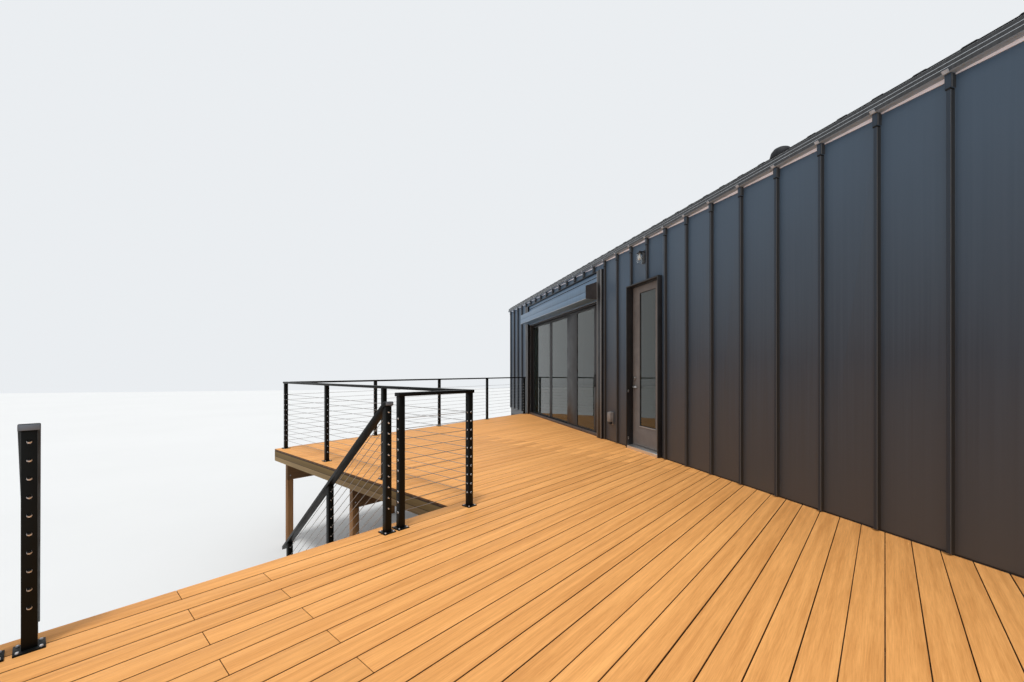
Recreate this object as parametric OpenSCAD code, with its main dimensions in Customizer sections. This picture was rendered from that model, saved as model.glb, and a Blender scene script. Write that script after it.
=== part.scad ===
// Cabin made from a shipping container: a long clad box on a plain foundation, with a
// raised timber deck, cable guards and a stair along its front.
// Millimetres. +X runs along the cabin, the deck lies on the -Y side, and Z = 0 is the ground.
// The origin is under the middle of the front foundation wall.

/* [Cabin] */
// Width of one cladding pan, rib to rib
pan_w = 457.2; // [440:0.1:470]
// Number of pans along the cabin
pan_count = 32; // [32:1:36]
// Width of the cabin over its cladding pans
cabin_w = 2800; // [2600:10:3200]
// Height of the deck surface above the ground
deck_h = 1520; // [1450:5:1650]
// Height of the roof edge above the sliding door's opening
eave_rise = 790; // [750:5:950]
// Thickness of the lined wall behind the cladding
wall_t = 160; // [140:5:200]
// Thickness of the floor
floor_t = 200; // [150:10:240]
// Rise of the indoor floor above the deck surface
floor_step = 20; // [15:1:30]
// Thickness of the roof build-up
roof_t = 100; // [80:5:140]
// Thickness of the foundation walls
foundation_t = 200; // [180:10:240]

/* [Cladding] */
// Thickness of the cladding pans
skin_t = 10; // [8:1:14]
// Width of a standing rib
rib_w = 25; // [20:1:30]
// Depth of a standing rib in front of the pans
rib_d = 45; // [35:1:55]
// Distance from the far end of the cabin to its first rib
rib_start = 100; // [60:5:160]
// Width of the folded cap at the top of a rib
rib_cap_w = 38; // [32:1:44]
// Height of the folded cap at the top of a rib
rib_cap_h = 100; // [80:5:130]
// Height of the eave flashing
eave_trim_h = 105; // [95:5:140]
// Depth of the eave flashing in front of the pans
eave_trim_d = 66; // [60:1:80]
// Sheet thickness of the flashings
trim_t = 8; // [6:1:10]
// Gap between the deck surface and the lower edge of the cladding
clad_gap = 12; // [8:1:18]

/* [Roof] */
// Pitch of the roof corrugations
wave_pitch = 278; // [260:1:300]
// Depth of the roof corrugations
wave_d = 36; // [30:1:40]
// Sheet thickness of the roof
roof_sheet_t = 6; // [5:1:8]
// Place of the roof vent along the cabin
vent_x = 3060; // [2000:10:4000]
// Distance of the roof vent behind the front
vent_back = 300; // [250:10:700]
// Side of the roof vent's cover
vent_w = 240; // [200:10:280]
// Height of the roof vent's cover
vent_h = 230; // [120:10:260]

/* [Sliding door] */
// Centre of the sliding door along the cabin
slider_x = -2840; // [-2880:5:-2810]
// Clear width inside the sliding door's surround
slider_w = 4500; // [4440:5:4520]
// Height of the sliding door's opening above the indoor floor
slider_h = 2580; // [2300:5:2600]
// Face width of the surround's side members
surround_w = 180; // [150:5:190]
// Depth of the surrounds in front of the pans
surround_d = 70; // [60:1:80]
// Thickness of the surrounds' sheet edges
surround_t = 20; // [16:1:24]
// Face width of the door unit's outer frame
slider_frame_w = 35; // [30:1:45]
// Thickness of the sill under the panels
sill_t = 10; // [8:1:14]
// Height of the sill's front lip above the deck
sill_lip = 53; // [45:1:60]
// Set-back of the moving panel behind the pans
slider_set = 40; // [36:1:50]
// Thickness of a door panel
panel_t = 40; // [36:1:42]
// Width of the fixed panels' stiles
stile_w = 75; // [60:1:90]
// Width of the moving panel's stile at the jamb
moving_stile_w = 110; // [90:1:120]
// Width of the moving panel's closed side, away from the jamb
moving_lead_w = 550; // [450:5:600]
// Height of a panel's upper rail
panel_head_h = 50; // [40:1:60]
// Height of a panel's lower rail
panel_foot_h = 42; // [36:1:60]
// Height of the track's rail
track_h = 8; // [6:1:12]
// Width of the track's rail
track_w = 8; // [6:1:12]
// Overlap of two panels where they meet
panel_lap = 60; // [50:1:70]
// Gap between the two panel planes
panel_gap = 6; // [5:0.5:8]
// Thickness of the glazing units
glass_t = 20; // [16:1:24]
// Depth of a glazing groove
groove_d = 12; // [8:1:16]
// Height of the pull's lower end above the panel's foot
pull_z = 900; // [850:5:950]
// Length of the pull on the moving panel
pull_h = 260; // [220:5:300]
// Width of the pull
pull_w = 20; // [16:1:24]
// Width that the moving panel stands open at rest
panel_ajar = 200; // [150:5:250]

/* [Hood] */
// Height of the hood's underside above the sliding door's opening
hood_rise = 17; // [5:1:40]
// Height of the hood's front face
hood_h = 250; // [200:5:270]
// Height of the hood where it meets the wall
hood_back_h = 343; // [320:1:360]
// Depth of the hood in front of the pans
hood_d = 290; // [250:5:320]
// Height of the header band's top above the sliding door's opening
header_rise = 550; // [520:5:580]
// Depth of the header band in front of the pans
header_d = 20; // [15:1:25]
// Gap between the hood's ends and the surround
hood_gap = 25; // [15:1:45]

/* [Entry door] */
// Centre of the entry door along the cabin
door_x = 918; // [910:1:922]
// Clear width between the door's jambs
door_w = 849; // [840:1:856]
// Height of the door leaf
door_h = 2555; // [2500:5:2570]
// Thickness of the door leaf
leaf_t = 45; // [40:1:50]
// Set-back of the leaf's face behind the pans
leaf_set = 43; // [35:1:50]
// Clearance round the leaf
leaf_gap = 7; // [7:0.5:8]
// Width of the stops that the leaf closes against
stop_w = 15; // [12:1:20]
// Height of the threshold above the indoor floor
threshold_h = 36; // [30:1:44]
// Depth of the threshold in front of the pans
threshold_d = 66; // [50:1:69]
// Width of the leaf's stiles beside the glass
leaf_stile_w = 200; // [180:1:215]
// Height of the leaf's lower panel under the glass
leaf_foot_h = 318; // [300:2:350]
// Height of the leaf's top rail over the glass
leaf_head_h = 111; // [100:1:130]
// Height of the lever above the indoor floor
lever_h = 980; // [950:5:1050]
// Rise of the bolt's thumb turn above the lever
bolt_rise = 140; // [120:5:160]
// Radius of a hinge knuckle
knuckle_r = 6; // [5:0.5:6.5]
// Gap between a hinge knuckle and the leaf's inner face
knuckle_gap = 4; // [3:0.5:6]
// Thickness of a hinge's straps
strap_t = 3; // [2:0.5:4]
// Length of the straps on the leaf
strap_w = 30; // [24:1:40]
// Height of a hinge knuckle
knuckle_h = 50; // [40:2:60]

/* [Fittings] */
// Distance of the wall lamp's centre below the eave flashing
lamp_drop = 270; // [220:5:300]
// Height of the wall lamp
lamp_h = 220; // [180:5:240]
// Width of the wall lamp's back plate
lamp_w = 110; // [90:5:130]
// Radius of the wall lamp's glass
lamp_r = 45; // [35:1:55]
// Height of the socket cover's lower edge above the deck
outlet_z = 300; // [260:5:340]
// Width of the socket cover
outlet_w = 120; // [100:5:140]
// Height of the socket cover
outlet_h = 170; // [140:5:190]
// Depth of the socket cover in front of the pans
outlet_d = 75; // [60:5:90]

/* [Deck] */
// Turn of the deck's stair side from the cabin's length
deck_turn = 33.6; // [32:0.1:35]
// Place of the deck's inner corner along the cabin
corner_x = 2745; // [2700:5:2800]
// Distance of the deck's inner corner in front of the cabin
corner_d = 3229; // [3150:5:3300]
// Length of the deck's front edge on the far side of the inner corner
front_len = 4330; // [4330:10:4500]
// Length of the deck's stair edge on the near side of the inner corner
side_len = 3400; // [3350:10:3500]
// Distance that the deck runs on past the sliding door at the cabin
deck_past = 320; // [280:10:400]
// Thickness of the decking boards
board_t = 25; // [22:1:28]
// Thickness of the joists and rim boards
joist_t = 38; // [35:1:45]
// Depth of the joists and rim boards
joist_h = 165; // [140:5:190]
// Distance of the first joist from the deck's outer edge
joist_first = 178; // [120:1:240]
// Spacing of the joists
joist_step = 405; // [380:0.5:420]
// Width of a beam of two planks
beam_t = 76; // [70:1:90]
// Set-back of a beam's end from the deck's edge
beam_back = 125; // [100:5:150]
// Depth of the beams
beam_h = 310; // [235:5:330]
// Spacing of the beams
beam_step = 2110; // [2080:5:2145]
// Side of the timber posts
post_w = 89; // [80:1:100]
// Distance of a beam's first post from its end at the cabin
post_first = 700; // [600:10:800]
// Distance of a beam's last post from the beam's outer end
post_last = 45; // [45:5:150]
// Most that a beam spans between two posts
post_span = 2400; // [2200:50:2600]

/* [Stair] */
// Number of risers from the deck to the ground
riser_count = 8; // [8:1:8]
// Run of one step
step_run = 230; // [225:1:240]
// Nosing of a tread past the riser below it
nosing = 25; // [15:1:30]
// Length of the treads
tread_len = 1973; // [1950:1:2000]
// Distance of the stair's centre from the inner corner
stair_mid = 1643; // [1620:1:1660]
// Height of a stringer under its notches
stringer_throat = 180; // [150:5:180]

/* [Guards] */
// Height of the guards above the deck
guard_h = 1085; // [1040:5:1120]
// Height of the stair rails above the deck at their top post
stair_rail_h = 1020; // [980:5:1060]
// Side of the steel guard posts
steel_w = 51; // [45:1:60]
// Side of a base plate
plate_w = 100; // [90:1:110]
// Thickness of a base plate
plate_t = 8; // [6:1:12]
// Gap between a base plate and what stands out of the cabin's front
plate_gap = 8; // [5:1:20]
// Width of the top rail
rail_w = 70; // [60:1:76]
// Thickness of the top rail
rail_t = 30; // [25:1:35]
// Set-back of the guard posts from the deck's edge
post_inset = 140; // [110:5:150]
// Set-back of the far corner post along the front edge
corner_inset = 80; // [70:5:100]
// Number of cables in a guard
cable_count = 10; // [8:1:10]
// Height of the lowest cable above the deck
cable_first = 129; // [110:1:140]
// Spacing of the cables
cable_step = 83; // [78:1:84]
// Diameter of a cable
cable_w = 5; // [4:0.5:6]
// Height of the stair guards' lowest cable above the deck at their top post
stair_cable_first = 145; // [142:1:190]
// Distance from the stair's top post to its middle post
stair_post_mid = 967; // [955:1:985]
// Distance from the stair's top post to its ground post
stair_post_low = 1917; // [1890:1:1940]
// Distance between the two posts beside the stair's head
twin_gap = 123; // [110:1:135]
// Distance from the inner corner to the guard post next to the stair
twin_first = 604; // [580:1:620]

/* [Hidden] */
$fn = 24;

// Clearance between pieces that seat on each other
seat = 0.3;
cabin_len = pan_w * pan_count;
half_len = cabin_len / 2;
// Place of the front's rib number k
function rib_x(k) = -half_len + rib_start + k * pan_w;
face_y = -foundation_t / 2;
back_y = face_y + cabin_w;
floor_top = deck_h + floor_step;
floor_bottom = floor_top - floor_t;
slider_top = floor_top + slider_h;
roof_z = slider_top + eave_rise;
clad_bottom = deck_h + clad_gap;
clad_top = roof_z - eave_trim_h;
wall_top = roof_z - roof_t;
slider_left = slider_x - slider_w / 2;
slider_right = slider_x + slider_w / 2;
header_z = slider_top + header_rise;
sill_top = floor_top + sill_t;
outer_plane = face_y + slider_set;
inner_plane = outer_plane + panel_t + panel_gap;
slider_back = inner_plane + panel_t + panel_gap;
panel_w = (slider_w - 2 * slider_frame_w + panel_lap) / 3;
door_left = door_x - door_w / 2;
door_right = door_x + door_w / 2;
leaf_z = floor_top + threshold_h + leaf_gap;
door_head_z = leaf_z + door_h + leaf_gap;
door_top = door_head_z + surround_t;
leaf_w = door_w - 2 * leaf_gap;
leaf_face = face_y + leaf_set;
leaf_back = leaf_face + leaf_t;
pin_x = door_right - leaf_gap / 2;
pin_y = leaf_back + knuckle_r + knuckle_gap;

// Places in the deck's own frame: +X runs down the stair and +Y along the stair edge
function on_deck(x, y) = [
    corner_x - x * cos(deck_turn) + y * sin(deck_turn),
    face_y - corner_d - x * sin(deck_turn) - y * cos(deck_turn)
];
module deck_frame() {
    translate([corner_x, face_y - corner_d, 0]) rotate(180 + deck_turn) children();
}
// Place along the deck's +Y where the line at x meets a line that far in front of the cabin
function at_cabin(x, clear) = (clear - corner_d - x * sin(deck_turn)) / cos(deck_turn);
// Place along the deck's +Y where the line at x meets a line that far inside the near end
function at_near_end(x, clear) = (half_len - clear - corner_x + x * cos(deck_turn)) / sin(deck_turn);

function unit(v) = v / norm(v);
function left_of(v) = [-v[1], v[0]];
// Corner q of a path p, q, r moved inwards, with the inside on the path's left
function inset_corner(p, q, r, d) =
    let (n1 = left_of(unit(q - p)), n2 = left_of(unit(r - q)))
    q + d * (n1 + n2) / (1 + n1 * n2);
function at_y(p, q, y) = p + (q - p) * (y - p[1]) / (q[1] - p[1]);

ledger_front = face_y + skin_t - joist_t;
joist_top = deck_h - board_t;
joist_z = joist_top - joist_h;
beam_z = joist_z - beam_h;
deck_far_x = slider_left - deck_past;
far_wall = [deck_far_x, face_y];
far_corner = on_deck(front_len, 0);
inner_corner = on_deck(0, 0);
near_corner = on_deck(0, side_len);
near_edge_len = (half_len - near_corner[0]) / cos(deck_turn);
near_end = on_deck(-near_edge_len, side_len);
near_wall = [half_len, face_y];
split_wall = on_deck(0, at_cabin(0, 0));

// Outline of the deck moved in by d, and ending that far in front of the cabin's face
function outline(d, clear) =
    let (n = left_of(unit(far_corner - far_wall)))
    [
        at_y(far_wall + n * d, far_corner + n * d, face_y - clear),
        inset_corner(far_wall, far_corner, inner_corner, d),
        inset_corner(far_corner, inner_corner, near_corner, d),
        inset_corner(inner_corner, near_corner, near_end, d),
        inset_corner(near_corner, near_end, near_wall, d),
        [half_len - d, face_y - clear]
    ];

step_rise = deck_h / riser_count;
stair_post_far = twin_first + twin_gap;
stair_post_near = 2 * stair_mid - stair_post_far;
slope = atan(step_rise / step_run);

// Walls and cladding

module wall_core(x0, x1, z0, z1) {
    color("gainsboro")
        translate([x0, face_y + skin_t, z0])
            cube([x1 - x0, wall_t, z1 - z0]);
}

// Pans with their standing ribs, seen from above, from x0 to x1 along a wall that faces -Y
module pan_profile(x0, x1, first, d, w) {
    translate([x0, 0]) square([x1 - x0, skin_t]);
    for (k = [0 : pan_count]) {
        x = first + k * pan_w;
        if (x - w / 2 > x0 + 2 && x + w / 2 < x1 - 2)
            translate([x - w / 2, -d]) square([w, d + 1]);
    }
}

module pans(x0, x1, z0, z1, first) {
    translate([0, 0, z0])
        linear_extrude(z1 - z0) pan_profile(x0, x1, first, rib_d, rib_w);
    translate([0, 0, z1 - rib_cap_h])
        linear_extrude(rib_cap_h) pan_profile(x0, x1, first, rib_d + 5, rib_cap_w);
}

module front_cladding(x0, x1, z0) {
    color("dimgray")
        translate([0, face_y, 0])
            pans(x0, x1, z0, clad_top, rib_x(0));
}

module foundation_side_walls() {
    color("darkgray")
        for (y = [face_y + skin_t, back_y - skin_t - foundation_t])
            translate([-half_len + skin_t, y, 0])
                cube([cabin_len - 2 * skin_t, foundation_t, floor_bottom]);
}

module foundation_end_walls() {
    color("darkgray")
        for (x = [-half_len + skin_t, half_len - skin_t - foundation_t])
            translate([x, face_y + skin_t + foundation_t, 0])
                cube([foundation_t, cabin_w - 2 * (skin_t + foundation_t), floor_bottom]);
}

module floor() {
    color("tan")
        translate([-half_len + skin_t, face_y + skin_t, floor_bottom])
            cube([cabin_len - 2 * skin_t, cabin_w - 2 * skin_t, floor_t]);
}

module wall_front_far() {
    wall_core(-half_len + skin_t, slider_left, floor_top, wall_top);
}

module wall_front_mid() {
    wall_core(slider_right, door_left - surround_t, floor_top, wall_top);
}

module wall_front_near() {
    wall_core(door_right + surround_t, half_len - skin_t, floor_top, wall_top);
}

module wall_over_slider() {
    wall_core(slider_left, slider_right, slider_top, wall_top);
}

module wall_over_door() {
    wall_core(door_left - surround_t, door_right + surround_t, door_top, wall_top);
}

module wall_back() {
    color("gainsboro")
        translate([-half_len + skin_t, back_y - skin_t - wall_t, floor_top])
            cube([cabin_len - 2 * skin_t, wall_t, wall_top - floor_top]);
}

module walls_end() {
    color("gainsboro")
        for (x = [-half_len + skin_t, half_len - skin_t - wall_t])
            translate([x, face_y + skin_t + wall_t, floor_top])
                cube([wall_t, cabin_w - 2 * (skin_t + wall_t), wall_top - floor_top]);
}

module cladding_far() {
    front_cladding(-half_len, slider_left - surround_w, clad_bottom);
}

module cladding_mid() {
    front_cladding(slider_right + surround_w, door_left - surround_t, clad_bottom);
}

module cladding_near() {
    front_cladding(door_right + surround_t, half_len, clad_bottom);
}

module cladding_over_slider() {
    front_cladding(slider_left - surround_w, slider_right + surround_w, header_z);
}

module cladding_over_door() {
    front_cladding(door_left - surround_t, door_right + surround_t, door_top);
}

module cladding_back() {
    color("dimgray")
        translate([0, back_y, 0])
            rotate(180) pans(-half_len, half_len, floor_bottom, clad_top, rib_x(0));
}

module cladding_ends() {
    end_w = cabin_w - 2 * skin_t;
    color("dimgray")
        for (side = [-1, 1])
            translate([side * half_len, face_y + cabin_w / 2, 0])
                rotate(side * 90)
                    pans(-end_w / 2, end_w / 2, floor_bottom, clad_top, -end_w / 2 + pan_w / 2);
}

// Folded flashing along an eave that faces -Y
module eave_profile() {
    polygon([
        [skin_t, 0], [-eave_trim_d, 0], [-eave_trim_d, eave_trim_h], [skin_t + wall_t / 2, eave_trim_h],
        [skin_t + wall_t / 2, eave_trim_h - trim_t], [-eave_trim_d + trim_t, eave_trim_h - trim_t],
        [-eave_trim_d + trim_t, trim_t], [skin_t, trim_t]
    ]);
}

// One length of the flashing, mitred at both ends, along a wall whose face is at y = 0
module eave_run(len) {
    inner = skin_t + wall_t / 2;
    outer = eave_trim_d;
    intersection() {
        translate([-len / 2 - outer, 0, 0])
            rotate([90, 0, 90]) linear_extrude(len + 2 * outer) eave_profile();
        linear_extrude(eave_trim_h)
            polygon([
                [-len / 2 - outer + seat / 2, -outer], [len / 2 + outer - seat / 2, -outer],
                [len / 2 - inner - seat / 2, inner], [-len / 2 + inner + seat / 2, inner]
            ]);
    }
}

module eave_trim() {
    mid_y = face_y + cabin_w / 2;
    color("dimgray")
        translate([0, mid_y, clad_top])
            for (turn = [0 : 90 : 270])
                rotate(turn)
                    translate([0, turn % 180 == 0 ? -cabin_w / 2 : -half_len, 0])
                        eave_run(turn % 180 == 0 ? cabin_len : cabin_w);
}

module roof_slab() {
    color("gainsboro")
        translate([-half_len + skin_t, face_y + skin_t, wall_top])
            cube([cabin_len - 2 * skin_t, cabin_w - 2 * skin_t, roof_t - trim_t]);
}

// Corrugations across the roof, as a sheet of even thickness seen from the front
wave_count = floor((cabin_len - wave_pitch) / wave_pitch);
wave_x0 = -wave_count * wave_pitch / 2;
wave_path = [
    for (k = [0 : wave_count - 1])
        for (p = [[0, 0], [0.26, 0], [0.5, 1], [0.76, 1]])
            [wave_x0 + (k + p[0]) * wave_pitch, p[1] * wave_d]
];
sheet_path = concat([[-half_len, 0]], wave_path, [[-wave_x0, 0], [half_len, 0]]);

module roof_sheet() {
    depth = cabin_w + 2 * trim_t;
    points = concat(
        sheet_path,
        [for (k = [len(sheet_path) - 1 : -1 : 0]) sheet_path[k] + [0, roof_sheet_t]]
    );
    color("slategray")
        translate([0, face_y - trim_t + depth, roof_z])
            rotate([90, 0, 0]) linear_extrude(depth) polygon(points);
}

module roof_vent() {
    flange = vent_w + 60;
    color("dimgray")
        translate([vent_x, face_y + vent_back, roof_z + wave_d + roof_sheet_t]) {
            translate([-flange / 2, -flange / 2, 0]) cube([flange, flange, trim_t]);
            translate([-vent_w / 2, vent_w / 2, 0])
                rotate([90, 0, 0])
                    linear_extrude(vent_w)
                        polygon([
                            [0, 0], [vent_w, 0], [vent_w, vent_h * 0.75],
                            [vent_w * 0.85, vent_h], [vent_w * 0.15, vent_h], [0, vent_h * 0.75]
                        ]);
        }
}

// Sliding door

module slider_surround() {
    color("black")
        translate([0, face_y - surround_d, 0]) {
            for (x = [slider_left - surround_w, slider_right])
                translate([x, 0, deck_h])
                    cube([surround_w, surround_d + skin_t, header_z - deck_h - seat]);
            translate([slider_left + seat, 0, header_z - surround_t])
                cube([slider_w - 2 * seat, surround_d + skin_t, surround_t - seat]);
        }
}

module slider_frame() {
    ring_h = slider_top - floor_top;
    color("black") {
        difference() {
            translate([slider_left, face_y + skin_t, floor_top])
                cube([slider_w, slider_back - face_y - skin_t, ring_h]);
            translate([slider_left + slider_frame_w, face_y, sill_top])
                cube([slider_w - 2 * slider_frame_w, wall_t + skin_t, ring_h - sill_t - slider_frame_w]);
        }
        translate([slider_left, face_y - skin_t, deck_h])
            cube([slider_w, 2 * skin_t, sill_lip]);
        translate([slider_left, face_y + skin_t, floor_top])
            cube([slider_w, slider_set - skin_t - panel_gap, deck_h + sill_lip - floor_top]);
        translate([slider_left + slider_frame_w, outer_plane + (panel_t - track_w) / 2, sill_top - 1])
            cube([slider_w - 2 * slider_frame_w, track_w, track_h + 1]);
    }
}

// Frame of one panel, standing on z = 0 with its face at y = 0
module panel_ring(w, h, left, right) {
    glass_w = w - left - right;
    difference() {
        cube([w, panel_t, h]);
        translate([left, -1, panel_foot_h])
            cube([glass_w, panel_t + 2, h - panel_foot_h - panel_head_h]);
        translate([left - groove_d, (panel_t - glass_t) / 2, panel_foot_h - groove_d])
            cube([glass_w + 2 * groove_d, glass_t, h - panel_foot_h - panel_head_h + 2 * groove_d]);
    }
}

module panel_pane(w, h, left, right) {
    edge = groove_d - seat;
    translate([left - edge, (panel_t - glass_t) / 2 + seat, panel_foot_h - edge])
        cube([
            w - left - right + 2 * edge, glass_t - 2 * seat,
            h - panel_foot_h - panel_head_h + 2 * edge
        ]);
}

fixed_w = panel_w - 2 * seat;
fixed_h = slider_top - slider_frame_w - sill_top - 2 * seat;
moving_w = panel_w - leaf_gap;
moving_z = sill_top + track_h + seat;
moving_h = slider_top - slider_frame_w - leaf_gap - moving_z;

module at_fixed_panels() {
    for (k = [0, 1])
        translate([slider_left + slider_frame_w + seat + k * panel_w, inner_plane, sill_top + seat])
            children();
}

module at_moving_panel() {
    translate([slider_right - slider_frame_w - leaf_gap - panel_ajar - moving_w, outer_plane, moving_z])
        children();
}

module slider_fixed_panels() {
    color("black") at_fixed_panels() panel_ring(fixed_w, fixed_h, stile_w, stile_w);
}

module slider_fixed_glass() {
    color("lightblue", 0.4) at_fixed_panels() panel_pane(fixed_w, fixed_h, stile_w, stile_w);
}

module sliding_panel() {
    pull_out = 22;
    grip_t = 10;
    foot_h = 20;
    color("black")
        at_moving_panel() {
            panel_ring(moving_w, moving_h, moving_lead_w, moving_stile_w);
            translate([moving_w - (moving_stile_w + pull_w) / 2, -pull_out, pull_z]) {
                cube([pull_w, grip_t, pull_h]);
                for (z = [foot_h, pull_h - 2 * foot_h])
                    translate([2, 0, z]) cube([pull_w - 4, pull_out + 1, foot_h]);
            }
        }
}

module sliding_glass() {
    color("lightblue", 0.4)
        at_moving_panel() panel_pane(moving_w, moving_h, moving_lead_w, moving_stile_w);
}

module slider_hood() {
    groove = 8;
    mid = hood_h / 2;
    color("dimgray")
        translate([slider_left + hood_gap, face_y, slider_top + hood_rise])
            rotate([90, 0, 90])
                linear_extrude(slider_w - 2 * hood_gap)
                    polygon([
                        [-header_d - seat, 0], [-hood_d, 0], [-hood_d, mid - groove / 2],
                        [-hood_d + groove, mid - groove / 2], [-hood_d + groove, mid + groove / 2],
                        [-hood_d, mid + groove / 2], [-hood_d, hood_h], [-header_d - seat, hood_back_h]
                    ]);
}

module header_band() {
    color("dimgray")
        translate([slider_left + seat, face_y - header_d, slider_top])
            cube([slider_w - 2 * seat, header_d + skin_t, header_rise - surround_t - seat]);
}

// Entry door

module door_frame() {
    depth = leaf_back - face_y + surround_d;
    stop_y = leaf_face - leaf_gap - stop_w;
    color("black") {
        difference() {
            translate([door_left - surround_t, face_y - surround_d, deck_h])
                cube([door_w + 2 * surround_t, depth, door_top - deck_h]);
            translate([door_left, face_y - surround_d - 1, deck_h - 1])
                cube([door_w, depth + 2, door_head_z - deck_h + 1]);
            translate([door_left - surround_t - 1, face_y + skin_t - seat, deck_h - 1])
                cube([door_w + 2 * surround_t + 2, depth, floor_step + 1]);
        }
        for (x = [door_left, door_right - stop_w])
            translate([x, stop_y, floor_top + threshold_h + seat])
                cube([stop_w, stop_w, door_head_z - floor_top - threshold_h]);
        translate([door_left, stop_y, door_head_z - stop_w])
            cube([door_w, stop_w, stop_w + 1]);
        for (z = hinge_z)
            for (end = [0, 2])
                translate([0, 0, z + end * (knuckle_h + seat)]) knuckle(1);
    }
}

// Heights of the lowest knuckle of each hinge
hinge_z = [for (part = [0.1, 0.5, 0.9]) leaf_z + part * door_h - 1.5 * knuckle_h];

// A hinge knuckle with its strap, on the jamb for side = 1 or on the leaf for side = -1
module knuckle(side) {
    bury = 1;
    near = side > 0 ? leaf_gap / 2 + bury : -strap_w;
    far = side > 0 ? leaf_gap / 2 + surround_t - bury : -knuckle_r;
    translate([pin_x, pin_y, 0]) {
        cylinder(r = knuckle_r, h = knuckle_h);
        translate([min(near, 0), -knuckle_r, 0])
            cube([side > 0 ? far : strap_w, strap_t, knuckle_h]);
        translate([near, -knuckle_r - knuckle_gap - bury, 0])
            cube([far - near, knuckle_gap + bury + strap_t, knuckle_h]);
    }
}

module door_threshold() {
    nose = 22;
    color("silver")
        translate([door_left, face_y, 0])
            rotate([90, 0, 90])
                linear_extrude(door_w)
                    polygon([
                        [-threshold_d, deck_h], [skin_t, deck_h], [skin_t, floor_top],
                        [leaf_back - face_y, floor_top], [leaf_back - face_y, floor_top + threshold_h],
                        [leaf_set - 6, floor_top + threshold_h], [-threshold_d, deck_h + nose * 2]
                    ]);
}

module door_leaf() {
    glass_h = door_h - leaf_foot_h - leaf_head_h;
    color("black") {
        translate([door_left + leaf_gap, leaf_face, leaf_z])
            difference() {
                cube([leaf_w, leaf_t, door_h]);
                translate([leaf_stile_w, -1, leaf_foot_h])
                    cube([leaf_w - 2 * leaf_stile_w, leaf_t + 2, glass_h]);
                translate([leaf_stile_w - groove_d, (leaf_t - glass_t) / 2, leaf_foot_h - groove_d])
                    cube([
                        leaf_w - 2 * (leaf_stile_w - groove_d), glass_t, glass_h + 2 * groove_d
                    ]);
            }
        for (z = hinge_z)
            translate([0, 0, z + knuckle_h + seat / 2])
                knuckle(-1);
    }
}

module door_glass() {
    glass_h = door_h - leaf_foot_h - leaf_head_h;
    inset = leaf_stile_w - groove_d + seat;
    color("lightblue", 0.4)
        translate([
            door_left + leaf_gap + inset, leaf_face + (leaf_t - glass_t) / 2 + seat,
            leaf_z + leaf_foot_h - groove_d + seat
        ])
            cube([leaf_w - 2 * inset, glass_t - 2 * seat, glass_h + 2 * (groove_d - seat)]);
}

// Lever handle and bolt, on both faces of the leaf
module door_lever() {
    backset = 60;
    rose_t = 9;
    color("silver")
        for (side = [-1, 1]) {
            face = side < 0 ? leaf_face - seat : leaf_back + seat;
            translate([door_left + leaf_gap + backset, face, floor_top + lever_h])
                rotate([side < 0 ? 90 : -90, 0, 0]) {
                    cylinder(r = 27, h = rose_t);
                    cylinder(r = 10, h = 45);
                    translate([-10, -9, 34]) cube([125, 18, 11]);
                }
            translate([door_left + leaf_gap + backset, face, floor_top + lever_h + bolt_rise])
                rotate([side < 0 ? 90 : -90, 0, 0]) {
                    cylinder(r = 27, h = 12);
                    cylinder(r = 18, h = 20);
                }
        }
}

// Fittings

module wall_lamp() {
    plate_d = 18;
    arm_w = 24;
    reach = lamp_r + 30;
    shade_h = 30;
    color("black")
        translate([door_x, face_y - seat, clad_top - lamp_drop]) {
            translate([-lamp_w / 2, -plate_d, -lamp_h / 2]) cube([lamp_w, plate_d, lamp_h]);
            translate([0, -reach, 20 - lamp_h / 2]) cylinder(r = lamp_r, h = lamp_h - 50);
            translate([0, -reach, lamp_h / 2 - shade_h - 1])
                cylinder(r1 = lamp_r + 17, r2 = lamp_r - 15, h = shade_h, $fn = 32);
            translate([-arm_w / 2, -reach, lamp_h / 2 - 2 * shade_h])
                cube([arm_w, reach - plate_d + 1, 20]);
        }
}

// Cover of a socket, in the middle of the first whole pan beside the sliding door
module outlet_cover() {
    pan = ceil((slider_right + surround_w - rib_x(0)) / pan_w);
    color("dimgray")
        translate([rib_x(pan + 0.5) - outlet_w / 2, face_y - outlet_d - seat, deck_h + outlet_z])
            cube([outlet_w, outlet_d, outlet_h]);
}

// Deck

module deck_slab(points) {
    color("peru")
        translate([0, 0, joist_top]) linear_extrude(board_t) polygon(points);
}

module decking_far() {
    deck_slab([far_wall, far_corner, inner_corner, split_wall]);
}

module decking_near() {
    deck_slab([
        split_wall + [seat, 0], inner_corner + [seat, 0], near_corner, near_end, near_wall
    ]);
}

// The rim board along edge k of the deck's outline
module rim_board(k) {
    clear = face_y - ledger_front + seat;
    outer = outline(0, clear);
    inner = outline(joist_t, clear);
    translate([0, 0, joist_z])
        linear_extrude(joist_h)
            polygon([outer[k], outer[k + 1], inner[k + 1], inner[k]]);
}

module rim_boards() {
    color("saddlebrown")
        for (k = [0, 2, 4]) rim_board(k);
}

module rim_boards_front() {
    color("saddlebrown")
        for (k = [1, 3]) rim_board(k);
}

module ledger() {
    color("saddlebrown")
        translate([deck_far_x, ledger_front, joist_z])
            cube([half_len - deck_far_x, joist_t, joist_h]);
}

module joists() {
    first = side_len - joist_first;
    reach = 12000;
    count = floor((first - at_cabin(front_len, 400)) / joist_step);
    color("burlywood")
        translate([0, 0, joist_z])
            linear_extrude(joist_h)
                intersection() {
                    polygon(outline(joist_t + seat, face_y - ledger_front + seat));
                    deck_frame()
                        for (k = [0 : count])
                            translate([-reach, first - k * joist_step - joist_t / 2])
                                square([2 * reach, joist_t]);
                }
}

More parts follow.
